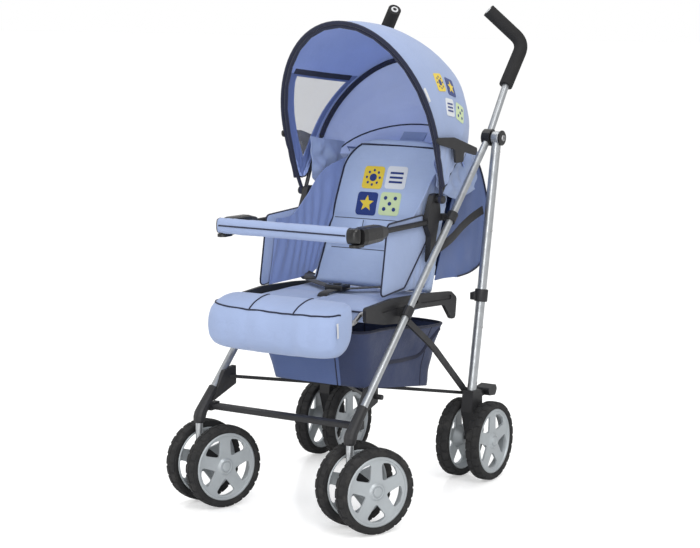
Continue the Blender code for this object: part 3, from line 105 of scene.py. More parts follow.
class Sheet:
    """A material's node tree, filled one node at a time."""

    def __init__(self, name: str) -> None:
        """Start an empty tree.

        Args:
            name: the material's name.
        """
        self.material = bpy.data.materials.new(name)
        self.material.use_nodes = True
        self.tree = self.material.node_tree
        self.shader = self.tree.nodes["Principled BSDF"]
        self.place = self.add("ShaderNodeTexCoord").outputs["Object"]

    def add(self, kind: str, **settings: Any) -> bpy.types.Node:
        """Add a node and set its sockets and options.

        Args:
            kind: the node's type name.
            settings: socket names with underscores for spaces, or node options in lower case.

        Returns:
            The new node.
        """
        node = self.tree.nodes.new(kind)
        for key, value in settings.items():
            socket = node.inputs.get(key.replace("_", " "))
            if key.islower():
                setattr(node, key, value)
            elif isinstance(value, Socket):
                self.tree.links.new(value, socket)
            else:
                socket.default_value = value
        return node

    def turned(self, **settings: Point) -> Socket:
        """The place in object space, turned or stretched."""
        return self.add("ShaderNodeMapping", Vector=self.place, **settings).outputs["Vector"]

    def noise(self, scale: float, detail: float = 3.0, rough: float = 0.55) -> Socket:
        """A cloudy pattern in object space.

        Args:
            scale: patches in a metre.
            detail: number of finer layers.
            rough: weight of the finer layers.

        Returns:
            The pattern's value socket.
        """
        return self.add("ShaderNodeTexNoise", Vector=self.place, Scale=scale, Detail=detail,
                        Roughness=rough).outputs["Fac"]

    def ramp(self, value: Socket, low: float, high: float, to_low: float, to_high: float) -> Socket:
        """Stretch a value between two levels.

        Args:
            value: the socket to stretch.
            low: the value that gives to_low.
            high: the value that gives to_high.
            to_low: the lowest result.
            to_high: the highest result.

        Returns:
            The stretched socket.
        """
        return self.add("ShaderNodeMapRange", Value=value, From_Min=low, From_Max=high, To_Min=to_low,
                        To_Max=to_high).outputs["Result"]

    def blend(self, value: Socket, first: Point, second: Point) -> Socket:
        """A colour between two, by a value from 0 to 1.

        Args:
            value: the socket that chooses.
            first: colour at 0.
            second: colour at 1.

        Returns:
            The colour socket.
        """
        node = self.tree.nodes.new("ShaderNodeMix")
        node.data_type = "RGBA"
        self.tree.links.new(value, node.inputs[0])
        node.inputs[6].default_value = (*first, 1)
        node.inputs[7].default_value = (*second, 1)
        return node.outputs[2]

    def math(self, operation: str, first: Socket, second: Socket) -> Socket:
        """Join two values.

        Args:
            operation: the sum to do.
            first: a socket.
            second: another socket.

        Returns:
            The result's socket.
        """
        node = self.add("ShaderNodeMath", operation=operation)
        self.tree.links.new(first, node.inputs[0])
        self.tree.links.new(second, node.inputs[1])
        return node.outputs[0]

    def bump(self, height: Socket, strength: float, depth: float, under: Socket | None = None) -> Socket:
        """Raise the surface by a height pattern.

        Args:
            height: the pattern.
            strength: how much of it shows.
            depth: its height in metres.
            under: a bump that this one lies on.

        Returns:
            The normal socket.
        """
        node = self.add("ShaderNodeBump", Strength=strength, Distance=depth, Height=height)
        if under is not None:
            self.tree.links.new(under, node.inputs["Normal"])
        return node.outputs["Normal"]

    def done(self, colour: Any, rough: Any, normal: Socket | None, **fixed: float) -> Material:
        """Set the shader's sockets.

        Args:
            colour: a colour or a socket.
            rough: a number or a socket.
            normal: the bump's socket, if any.
            fixed: other shader sockets, with underscores for spaces.

        Returns:
            The finished material.
        """
        for key, value in (("Base Color", colour), ("Roughness", rough), ("Normal", normal)):
            if isinstance(value, Socket):
                self.tree.links.new(value, self.shader.inputs[key])
            elif value is not None:
                self.shader.inputs[key].default_value = (*value, 1) if key == "Base Color" else value
        for key, number in fixed.items():
            self.shader.inputs[key.replace("_", " ")].default_value = number
        return self.material


@dataclass(frozen=True)
class Finish:
    """A finish makes its material once, and hands out the same one after that."""

    name: str

    def build(self) -> Material:
        """Make the material."""
        raise NotImplementedError

    def material(self) -> Material:
        """The finish's material, made at the first call."""
        return bpy.data.materials.get("finish_" + self.name) or self.build()

    def sheet(self) -> Sheet:
        """An empty tree under the finish's name."""
        return Sheet("finish_" + self.name)


@dataclass(frozen=True)
class Cloth(Finish):
    """Woven polyester: crossing threads, soft creases and a faint sheen."""

    colour: Colour
    weave: Weave = Weave.FINE
    crease: float = 0.35
    crease_scale: float = 34.0
    rough: float = 0.82

    def build(self) -> Material:
        """Make the cloth's material."""
        sheet = self.sheet()
        scale = self.weave.value * math.tau / 20    # the wave pattern counts in twentieths of a turn
        threads = []
        for turn in (0.0, math.pi / 2):
            place = sheet.turned(Rotation=(0, 0, turn))
            wave = sheet.add("ShaderNodeTexWave", Vector=place, Scale=scale, bands_direction="DIAGONAL")
            threads.append(wave.outputs["Fac"])
        weave = sheet.math("MULTIPLY", threads[0], threads[1])
        crease = sheet.noise(self.crease_scale, 2.0, 0.45)
        fine = sheet.noise(420.0, 2.0)
        # partly painted shade: the colour darkens in random soft patches, and also in the gaps between the
        # woven threads where the weave's bump is low
        tone = sheet.math("ADD", sheet.ramp(sheet.noise(9.0, 2.0), 0.3, 0.7, 0.0, 0.5),
                          sheet.ramp(weave, 0.0, 1.0, 0.0, 0.5))
        patchy_and_thread_shade_colour = tuple(level * 0.86 for level in self.colour)
        colour = sheet.blend(tone, patchy_and_thread_shade_colour, self.colour)
        creased = sheet.bump(crease, self.crease, 0.006)
        woven = sheet.bump(weave, 0.30, 0.0004, creased)
        normal = sheet.bump(fine, 0.12, 0.0005, woven)
        rough = sheet.ramp(fine, 0.3, 0.7, self.rough - 0.07, self.rough + 0.05)
        return sheet.done(colour, rough, normal, Sheen_Weight=0.22, Sheen_Roughness=0.45,
                          Specular_IOR_Level=0.3)


@dataclass(frozen=True)
class Moulding(Finish):
    """Moulded plastic: a fine spark-eroded grain with faint scuffs."""

    colour: Colour
    rough: float = 0.48
    grain: float = 0.22
    metallic: float = 0.0
    scuff: float = 0.5

    def build(self) -> Material:
        """Make the moulding's material."""
        sheet = self.sheet()
        grain = sheet.noise(1400.0, 2.0)
        cloud = sheet.noise(28.0, 4.0, 0.62)
        lighter = tuple(min(1.0, level * 1.35 + 0.004) for level in self.colour)
        colour = sheet.blend(sheet.ramp(cloud, 0.45, 0.75, 0.0, self.scuff), self.colour, lighter)
        rough = sheet.ramp(cloud, 0.3, 0.7, self.rough - 0.06, self.rough + 0.10)
        return sheet.done(colour, rough, sheet.bump(grain, self.grain, 0.0003), Metallic=self.metallic,
                          Specular_IOR_Level=0.45)


@dataclass(frozen=True)
class Metal(Finish):
    """Lacquered or bare metal with drawn lines along the tube and a few dull spots."""

    colour: Colour
    rough: float = 0.34
    metallic: float = 0.85
    coat: float = 0.3

    def build(self) -> Material:
        """Make the metal's material."""
        sheet = self.sheet()
        place = sheet.turned(Scale=(1.0, 1.0, 0.08))
        lines = sheet.add("ShaderNodeTexNoise", Vector=place, Scale=900.0, Detail=2.0).outputs["Fac"]
        spots = sheet.noise(60.0, 4.0, 0.6)
        duller = tuple(level * 0.82 for level in self.colour)
        colour = sheet.blend(sheet.ramp(spots, 0.35, 0.65, 0.0, 1.0), duller, self.colour)
        rough = sheet.ramp(spots, 0.3, 0.7, self.rough + 0.07, self.rough - 0.04)
        return sheet.done(colour, rough, sheet.bump(lines, 0.06, 0.0002), Metallic=self.metallic,
                          Coat_Weight=self.coat, Coat_Roughness=0.2)


@dataclass(frozen=True)
class Rubber(Finish):
    """Matt rubber or foam with small pores and a trace of dust."""

    colour: Colour
    pores: float = 500.0
    dust: Colour = (0.075, 0.072, 0.068)
    rough: float = 0.78

    def build(self) -> Material:
        """Make the rubber's material."""
        sheet = self.sheet()
        pores = sheet.add("ShaderNodeTexVoronoi", Vector=sheet.place, Scale=self.pores).outputs["Distance"]
        cloud = sheet.noise(40.0, 4.0, 0.65)
        colour = sheet.blend(sheet.ramp(cloud, 0.5, 0.8, 0.0, 0.6), self.colour, self.dust)
        rough = sheet.ramp(cloud, 0.3, 0.7, self.rough - 0.08, self.rough + 0.08)
        return sheet.done(colour, rough, sheet.bump(pores, 0.25, 0.0005), Specular_IOR_Level=0.35)


@dataclass(frozen=True)
class ClearSheet(Finish):
    """The soft clear plastic of the canopy's window."""

    def build(self) -> Material:
        """Make the window's material."""
        sheet = self.sheet()
        waves = sheet.noise(22.0, 2.0)
        rough = sheet.ramp(waves, 0.3, 0.7, 0.02, 0.07)
        return sheet.done((0.97, 0.98, 1.0), rough, sheet.bump(waves, 0.2, 0.002),
                          Transmission_Weight=0.92, IOR=1.2)


LIGHT_BLUE = Cloth("light_blue_cloth", (0.335, 0.418, 0.640))
QUILTED_BLUE = Cloth("quilted_light_blue", (0.34, 0.425, 0.65), crease=0.55, crease_scale=26.0)
INNER_BLUE = Cloth("inner_blue_cloth", (0.34, 0.45, 0.84), crease=0.30)
# painted light: a lighter copy of the lining cloth, for the parts of the lining where more light falls
LIT_LINING = Cloth("lit_lining", (0.56, 0.66, 0.95), crease=0.40)
SEAT_BLUE = Cloth("seat_blue_cloth", (0.42, 0.52, 0.74), crease=0.40)
# painted shade: a darker copy of the wing cloth, for the far wing that lies in shade
SHADED_WING_BLUE = Cloth("wing_blue_cloth", (0.225, 0.298, 0.56), crease=0.5, crease_scale=22.0)
MID_BLUE = Cloth("mid_blue_cloth", (0.13, 0.185, 0.42), crease=0.5, crease_scale=20.0)
DEEP_BLUE = Cloth("deep_blue_cloth", (0.105, 0.155, 0.34), crease=0.5, crease_scale=20.0)
NAVY = Cloth("navy_cloth", (0.040, 0.055, 0.125), Weave.PLAIN, crease=0.3)
PIPING = Cloth("navy_piping", (0.016, 0.020, 0.046), Weave.PLAIN, crease=0.15)
WEBBING = Cloth("black_webbing", (0.018, 0.018, 0.021), Weave.WEBBING, crease=0.1)
WHITE_TAG = Cloth("white_tag", (0.74, 0.75, 0.76), Weave.PLAIN, crease=0.2, crease_scale=90.0)
PATCH_YELLOW = Cloth("patch_yellow", (0.80, 0.60, 0.06), Weave.PLAIN, crease=0.1)
PATCH_PALE = Cloth("patch_white", (0.72, 0.75, 0.78), Weave.PLAIN, crease=0.1)
PATCH_NAVY = Cloth("patch_dark_blue", (0.022, 0.045, 0.20), Weave.PLAIN, crease=0.1)
PATCH_GREEN = Cloth("patch_pale_green", (0.60, 0.72, 0.42), Weave.PLAIN, crease=0.1)
BLACK_PLASTIC = Moulding("black_plastic", (0.017, 0.017, 0.019))
GLOSS_BLACK = Moulding("smooth_black_plastic", (0.012, 0.012, 0.013), rough=0.30, grain=0.06)
WHEEL_GREY = Moulding("wheel_grey", (0.40, 0.43, 0.45), rough=0.36, grain=0.08, metallic=0.25, scuff=0.25)
PALE_CAP = Moulding("pale_tube_plug", (0.62, 0.63, 0.64), rough=0.4)
TUBE_SILVER = Metal("silver_tube", (0.50, 0.52, 0.54))
STEEL = Metal("plain_steel", (0.42, 0.42, 0.43), rough=0.30, metallic=1.0, coat=0.0)
TYRE_RUBBER = Rubber("tyre_rubber", (0.017, 0.017, 0.018))
GRIP_FOAM = Rubber("grip_foam", (0.014, 0.014, 0.015), pores=1100.0, dust=(0.03, 0.03, 0.03))
WINDOW = ClearSheet("clear_window")


# Workbench

def spot(x: float, y: float, z: float) -> Vector:
    """A point set out from the seat's zero point."""
    return Vector((x, y, z)) + ZERO


def smooth_line(points: Sequence[Point], steps: int = 6, closed: bool = False) -> list[Vector]:
    """A smooth line through points.

    Args:
        points: the points to pass through.
        steps: new points for each gap.
        closed: whether the line joins its own start.

    Returns:
        The points of the smooth line.
    """
    knots = [Vector(point) for point in points]
    count = len(knots)
    line = []
    for index in range(count if closed else count - 1):
        around = []
        for offset in (-1, 0, 1, 2):
            number = index + offset
            around.append(knots[number % count] if closed else knots[min(max(number, 0), count - 1)])
        before, first, second, after = around
        for step in range(steps):
            t = step / steps
            line.append(0.5 * (2 * first + (second - before) * t
                               + (2 * before - 5 * first + 4 * second - after) * t * t
                               + (3 * first - before - 3 * second + after) * t ** 3))
    if not closed:
        line.append(knots[-1])
    return line


def rounded(points: Sequence[Point], radius: float, steps: int = 5, closed: bool = False) -> list[Vector]:
    """A line whose corners are rounded.

    Args:
        points: the corners.
        radius: radius of each corner.
        steps: points for each corner.
        closed: whether the line is a closed outline.

    Returns:
        The points of the rounded line.
    """
    corners = [Vector(point) for point in points]
    line = []
    for index, corner in enumerate(corners):
        if not closed and index in (0, len(corners) - 1):
            line.append(corner)
            continue
        to_last = corners[index - 1] - corner
        to_next = corners[(index + 1) % len(corners)] - corner
        half = to_last.angle(to_next) / 2
        reach = min(radius / max(math.tan(half), 1e-3), to_last.length * 0.45, to_next.length * 0.45)
        start = corner + to_last.normalized() * reach
        end = corner + to_next.normalized() * reach
        for step in range(steps + 1):
            t = step / steps
            line.append(start * (1 - t) ** 2 + corner * 2 * t * (1 - t) + end * t * t)
    return line


class Bench:
    """Primitives, edit-mode steps and modifiers, one piece at a time."""

    @staticmethod
    def clear() -> None:
        """Leave edit mode and deselect everything."""
        if bpy.context.object is not None and bpy.context.object.mode != "OBJECT":
            bpy.ops.object.mode_set(mode="OBJECT")
        for obj in bpy.context.view_layer.objects:
            obj.select_set(False)

    @staticmethod
    def take(obj: Object) -> Object:
        """Select one piece and make it the active one."""
        Bench.clear()
        obj.hide_viewport = False
        obj.select_set(True)
        bpy.context.view_layer.objects.active = obj
        return obj

    @staticmethod
    def settle(obj: Object) -> Object:
        """Move a piece's place, turn and size into its mesh."""
        Bench.take(obj)
        bpy.ops.object.transform_apply(location=True, rotation=True, scale=True)
        return obj

    @staticmethod
    def cylinder(start: Point, end: Point, radius: float, sides: int = 32,
                 top: float | None = None) -> Object:
        """A round bar or cone between two points.

        Args:
            start: middle of the first end.
            end: middle of the second end.
            radius: radius at the first end.
            sides: number of sides.
            top: radius at the second end, if it differs.

        Returns:
            The new piece.
        """
        Bench.clear()
        along = Vector(end) - Vector(start)
        bpy.ops.mesh.primitive_cone_add(
            vertices=sides, radius1=radius, radius2=radius if top is None else top, depth=along.length,
            location=(Vector(start) + Vector(end)) / 2, rotation=along.to_track_quat("Z", "Y").to_euler())
        return Bench.settle(bpy.context.object)

    @staticmethod
    def box(low: Point, high: Point) -> Object:
        """A block between two corners."""
        Bench.clear()
        size = Vector(high) - Vector(low)
        bpy.ops.mesh.primitive_cube_add(size=1.0, location=(Vector(low) + Vector(high)) / 2)
        bpy.context.object.scale = size
        return Bench.settle(bpy.context.object)

    @staticmethod
    def spin(profile: Sequence[Pair], steps: int, closed: bool = True) -> Object:
        """Turn a profile of (along, radius) pairs once round the X axis.

        Args:
            profile: the pairs, in order.
            steps: steps in a full turn.
            closed: whether the profile is a closed loop.

        Returns:
            The new piece, round the X axis at the origin.
        """
        Bench.clear()
        bpy.ops.mesh.primitive_circle_add(vertices=len(profile), radius=0.01)
        obj = bpy.context.object
        for vertex, (along, radius) in zip(obj.data.vertices, profile):
            vertex.co = (along, 0.0, radius)
        bpy.ops.object.mode_set(mode="EDIT")
        if not closed:
            bpy.ops.mesh.select_all(action="DESELECT")
            shape = bmesh.from_edit_mesh(obj.data)
            shape.verts.ensure_lookup_table()
            ends = {shape.verts[0], shape.verts[len(profile) - 1]}
            for edge in shape.edges:
                edge.select_set(set(edge.verts) == ends)
            bmesh.update_edit_mesh(obj.data)
            bpy.ops.mesh.delete(type="EDGE_FACE")
        bpy.ops.mesh.select_all(action="SELECT")
        bpy.ops.mesh.spin(steps=steps, angle=math.tau, center=(0, 0, 0), axis=(1, 0, 0))
        return Bench.weld(obj)

    @staticmethod
    def weld(obj: Object) -> Object:
        """Melt doubled points, turn the faces out and leave edit mode."""
        bpy.ops.mesh.select_all(action="SELECT")
        bpy.ops.mesh.remove_doubles(threshold=1e-6)
        bpy.ops.mesh.normals_make_consistent(inside=False)
        bpy.ops.object.mode_set(mode="OBJECT")
        return obj

    @staticmethod
    def modify(obj: Object, kind: str, **settings: Any) -> Object:
        """Add one modifier and apply it.

        Args:
            obj: the piece.
            kind: the modifier's type.
            settings: its options.

        Returns:
            The same piece.
        """
        Bench.take(obj)
        modifier = obj.modifiers.new(kind.lower(), kind)
        for key, value in settings.items():
            setattr(modifier, key, value)
        bpy.ops.object.modifier_apply(modifier=modifier.name)
        return obj

    @staticmethod
    def bevel(obj: Object, width: float, segments: int = 2, angle: float = 35.0) -> Object:
        """Round the edges that are sharper than an angle in degrees."""
        return Bench.modify(obj, "BEVEL", width=width, segments=segments, limit_method="ANGLE",
                            angle_limit=math.radians(angle), harden_normals=False)

    @staticmethod
    def carve(obj: Object, tool: Object, operation: str = "DIFFERENCE") -> Object:
        """Cut a tool out of a piece, or melt it on, and remove the tool."""
        Bench.modify(obj, "BOOLEAN", object=tool, operation=operation, solver="EXACT")
        bpy.data.objects.remove(tool)
        return obj

    @staticmethod
    def tube(points: Sequence[Point], radius: float, sides: int = 12, closed: bool = False) -> Object:
        """A round tube along points.

        Args:
            points: the line to follow.
            radius: the tube's radius.
            sides: number of sides.
            closed: whether the line is a ring.

        Returns:
            The new piece.
        """
        Bench.clear()
        bpy.ops.curve.primitive_nurbs_path_add(location=(0, 0, 0))
        obj = bpy.context.object
        curve = obj.data
        curve.splines.clear()
        spline = curve.splines.new("POLY")
        spline.points.add(len(points) - 1)
        for knot, point in zip(spline.points, points):
            knot.co = (*point, 1.0)
        spline.use_cyclic_u = closed
        curve.dimensions = "3D"
        curve.bevel_depth = radius
        curve.bevel_resolution = max(0, sides // 2 - 2)
        curve.use_fill_caps = not closed
        Bench.take(obj)
        bpy.ops.object.convert(target="MESH")
        obj = bpy.context.object
        Bench.settle(obj)
        bpy.ops.object.mode_set(mode="EDIT")
        return Bench.weld(obj)

    @staticmethod
    def join(pieces: Sequence[Object]) -> Object:
        """Make several pieces one."""
        Bench.take(pieces[0])
        for piece in pieces[1:]:
            piece.select_set(True)
        if len(pieces) > 1:
            bpy.ops.object.join()
        return pieces[0]

    @staticmethod
    def copy(obj: Object, place: Matrix) -> Object:
        """A copy with its own mesh, moved by a matrix."""
        twin = obj.copy()
        twin.data = obj.data.copy()
        bpy.context.collection.objects.link(twin)
        twin.data.transform(place)
        return twin

    @staticmethod
    def select(obj: Object, test: Callable[[bmesh.types.BMFace], bool]) -> None:
        """Enter edit mode with just the faces that pass a test selected."""
        Bench.take(obj)
        bpy.ops.object.mode_set(mode="EDIT")
        bpy.context.tool_settings.mesh_select_mode = (False, False, True)
        bpy.ops.mesh.select_all(action="DESELECT")
        shape = bmesh.from_edit_mesh(obj.data)
        for face in shape.faces:
            face.select_set(test(face))
        bmesh.update_edit_mesh(obj.data)


@contextmanager
def opened(obj: Object) -> Iterator[bmesh.types.BMesh]:
    """A piece's mesh, open for changes; it is written back at the end."""
    shape = bmesh.new()
    shape.from_mesh(obj.data)
    yield shape
    shape.to_mesh(obj.data)
    shape.free()


def skin_mesh(name: str, rows: Sequence[Sequence[Point]], ring: bool = False, loop: bool = False,
              caps: bool = False) -> Object:
    """A surface through rows of points, all of one length.

    Args:
        name: the piece's name.
        rows: the rows, in order.
        ring: whether each row is a closed ring.
        loop: whether the last row joins the first.
        caps: whether the first and the last ring are closed off.

    Returns:
        The new piece.
    """
    width = len(rows[0])
    verts = [tuple(point) for row in rows for point in row]
    faces = []
    for index in range(len(rows) if loop else len(rows) - 1):
        here = index * width
        there = (index + 1) % len(rows) * width
        for place in range(width if ring else width - 1):
            after = (place + 1) % width
            faces.append((here + place, here + after, there + after, there + place))
    if caps:
        faces.append(tuple(reversed(range(width))))
        faces.append(tuple(range(len(verts) - width, len(verts))))
    mesh = bpy.data.meshes.new(name)
    mesh.from_pydata(verts, [], faces)
    obj = bpy.data.objects.new(name, mesh)
    bpy.context.collection.objects.link(obj)
    if ring:
        with opened(obj) as shape:
            bmesh.ops.recalc_face_normals(shape, faces=shape.faces)
    return obj


class Skin:
    """A finished surface that other things are laid on."""

    def __init__(self, *objects: Object) -> None:
        """Take the surface of some pieces."""
        verts: list[Vector] = []
        faces: list[tuple[int, ...]] = []
        for obj in objects:
            start = len(verts)
            verts += [vertex.co.copy() for vertex in obj.data.vertices]
            faces += [tuple(start + number for number in face.vertices) for face in obj.data.polygons]
        self.tree = BVHTree.FromPolygons(verts, faces)

    def onto(self, point: Point, towards: Point, lift: float = 0.0) -> Vector:
        """The place where a line meets the surface.

        Args:
            point: a point near the surface.
            towards: the line's direction, into the surface.
            lift: how far the result stands off the surface, against that direction.

        Returns:
            The place, or the point itself where the line misses.
        """
        way = Vector(towards).normalized()
        hit = self.tree.ray_cast(Vector(point) - way * 0.15, way, 0.3)[0]
        return (hit if hit is not None else Vector(point)) - way * lift


def dress(obj: Object, name: str, finish: Finish | Sequence[Finish], body: str, slot: str = "",
          replaces: Sequence[str] = (), angle: float = 40.0) -> Object:
    """Give a finished piece its name, shading, finish and body.

    Args:
        obj: the piece.
        name: its name.
        finish: its finish, or one for each material number on its faces.
        body: the body that carries it.
        slot: the record's material slot; not used.
        replaces: the plain solids that it stands for.
        angle: edges sharper than this stay sharp.

    Returns:
        The same piece.
    """
    obj.name = name
    obj.data.name = name
    finishes = [finish] if isinstance(finish, Finish) else list(finish)
    numbers = [face.material_index if len(finishes) > 1 else 0 for face in obj.data.polygons]
    obj.data.materials.clear()
    for one in finishes:
        obj.data.materials.append(one.material())
    obj.data.polygons.foreach_set("material_index", numbers)
    Bench.take(obj)
    bpy.ops.object.shade_smooth_by_angle(angle=math.radians(angle))
    if body:
        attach(obj, body)
    if replaces:
        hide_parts(*replaces)
    LOG.info("%s: %d faces", name, len(obj.data.polygons))
    return obj


def cord(name: str, points: Sequence[Point], radius: float, body: str, slot: str = "blue_cloth",
         sides: int = CORD_SIDES, closed: bool = False, finish: Finish = PIPING) -> Object:
    """A cord or bound edge along points, dressed.

    Args:
        name: its name.
        points: the line to follow.
        radius: its radius.
        body: the body that carries it.
        slot: the record's material slot.
        sides: number of sides.
        closed: whether the line is a ring.
        finish: its finish.

    Returns:
        The cord.
    """
    return dress(Bench.tube(points, radius, sides, closed), name, finish, body, slot, angle=SOFT_EDGE)


def net(rows: int, columns: int, place: Callable[[float, float], Point]) -> list[list[Point]]:
    """Rows of places over a cloth.

    Args:
        rows: gaps from the first row to the last.
        columns: gaps along each row.
        place: gives a place from the shares, 0 to 1, down and across.

    Returns:
        The rows.
    """
    return [[place(row / rows, column / columns) for column in range(columns + 1)]
            for row in range(rows + 1)]


def hump(share: float) -> float:
    """A swelling that is 0 at both ends of a span and 1 halfway."""
    return math.sin(math.pi * share)


def side_of(points: Iterable[Point], side: float) -> list[Vector]:
    """Points set out on the left, moved to a side and into the frame."""
    return [spot(point[0] * side, point[1], point[2]) for point in points]


def prism(outline: Sequence[Point], along: Point) -> Object:
    """A face from an outline, pulled out into a solid.

    Args:
        outline: the corners, in order.
        along: how far and which way the face is pulled.

    Returns:
        The new piece.
    """
    Bench.clear()
    bpy.ops.mesh.primitive_circle_add(vertices=len(outline), radius=0.01, fill_type="NGON")
    obj = bpy.context.object
    for vertex, point in zip(obj.data.vertices, outline):
        vertex.co = point
    bpy.ops.object.mode_set(mode="EDIT")
    bpy.ops.mesh.select_all(action="SELECT")
    bpy.ops.mesh.extrude_region_move(TRANSFORM_OT_translate={"value": tuple(along)})
    bpy.ops.mesh.select_all(action="SELECT")
    bpy.ops.mesh.normals_make_consistent(inside=False)
    bpy.ops.object.mode_set(mode="OBJECT")
    return obj


# Sub-assemblies

@dataclass
class Wheels:
    """Eight wheels in twin pairs: block-tread tyres on five-window rims."""

    steps: int = 120
    lug_period: int = 5
    lug_height: float = 0.0017
    groove: float = 0.002
    shoulder_radius: float = 0.0835
    window_count: int = 5
    rim_steps: int = 100
    window_corner: float = 0.0065
    # sections as (along the axle, radius) and corners of a window as (degrees, radius)
    tyre_half: Pairs = ((0.0015, 0.0872), (0.0106, 0.0865), (0.0142, 0.0845), (0.0155, 0.0808),
                        (0.0152, 0.0770), (0.0132, 0.0742), (0.0126, 0.0729))
    window: Pairs = ((0.0, 0.0245), (-24.0, 0.0598), (-8.0, 0.0632), (8.0, 0.0632), (24.0, 0.0598))
    rim_section: Pairs = (
        (0.0150, 0.0), (0.0148, 0.0070), (0.0136, 0.0098), (0.0116, 0.0104), (0.0116, 0.0118),
        (0.0132, 0.0126), (0.0130, 0.0150), (0.0088, 0.0190), (0.0078, 0.0260), (0.0086, 0.0600),
        (0.0102, 0.0640), (0.0106, 0.0668), (0.0136, 0.0680), (0.0142, 0.0700), (0.0128, 0.0727),
        (-0.0125, 0.0727),
        (-0.0140, 0.0702), (-0.0125, 0.0684), (0.0010, 0.0662), (0.0036, 0.0600), (0.0030, 0.0260),
        (-0.0100, 0.0150), (-0.0132, 0.0128), (-0.0135, 0.0062), (-0.0135, 0.0))

    def tyre(self) -> Object:
        """Spin the tyre's section and raise two staggered rows of lugs.

        Returns:
            The tyre, round the X axis at the origin.
        """
        section = [*self.tyre_half, *((-along, radius) for along, radius in reversed(self.tyre_half))]
        obj = Bench.spin(section, self.steps)
        step = math.tau / self.steps

        def is_lug(face: bmesh.types.BMFace) -> bool:
            """Whether a face belongs to a raised lug."""
            centre = face.calc_center_median()
            if abs(centre.x) < self.groove or math.hypot(centre.y, centre.z) < self.shoulder_radius:
                return False
            number = int(math.atan2(centre.y, centre.z) % math.tau / step)
            shift = 0 if centre.x > 0 else self.lug_period // 2
            return (number + shift) % self.lug_period != 0

        Bench.select(obj, is_lug)
        bpy.ops.mesh.extrude_region_shrink_fatten(TRANSFORM_OT_shrink_fatten={"value": self.lug_height})
        bpy.ops.object.mode_set(mode="OBJECT")
        return Bench.bevel(obj, 0.0005, 1, 50.0)

    def rim(self) -> Object:
        """Spin the rim's section, cut its windows and soften the edges.

        Returns:
            The rim, its face towards +X.
        """
        obj = Bench.spin(self.rim_section, self.rim_steps, closed=False)
        for number in range(self.window_count):
            turn = math.tau * (number + 0.5) / self.window_count
            corners = []
            for angle, radius in self.window:
                at = turn + math.radians(angle)
                corners.append((-0.03, radius * math.sin(at), radius * math.cos(at)))
            outline = rounded(corners, self.window_corner, 5, closed=True)
            Bench.carve(obj, prism(outline, (0.06, 0, 0)))
        return Bench.bevel(obj, 0.0009, 2, 38.0)

    def build(self, frame: dict[str, Any]) -> None:
        """Make one tyre and one rim and set a copy of each on every wheel.

        Args:
            frame: the loaded frame, with its joints.
        """
        masters = {"tyre": (self.tyre(), TYRE_RUBBER, "tyre"),
                   "rim": (self.rim(), WHEEL_GREY, "wheel_grey")}
        for joint in frame["joints"]:
            if not joint["name"].startswith("spin_"):
                continue
            key = joint["name"].removeprefix("spin_")
            axis = Vector(joint["axis"]).normalized()
            outwards = (1 if "left" in key else -1) * (1 if "outer" in key else -1)
            turn = math.atan2(axis.y, axis.x)
            place = Matrix.Translation(joint["pos_m"]) @ Matrix.Rotation(turn, 4, "Z")
            if outwards < 0:
                place = place @ Matrix.Rotation(math.pi, 4, "Z")
            for kind, (master, finish, slot) in masters.items():
                piece = Bench.copy(master, place)
                dress(piece, "finished_%s_%s" % (kind, key), finish, "wheel_" + key, slot,
                      ["%s_%s" % (kind, key)], 32.0)
        for master, _, _ in masters.values():
            bpy.data.objects.remove(master)


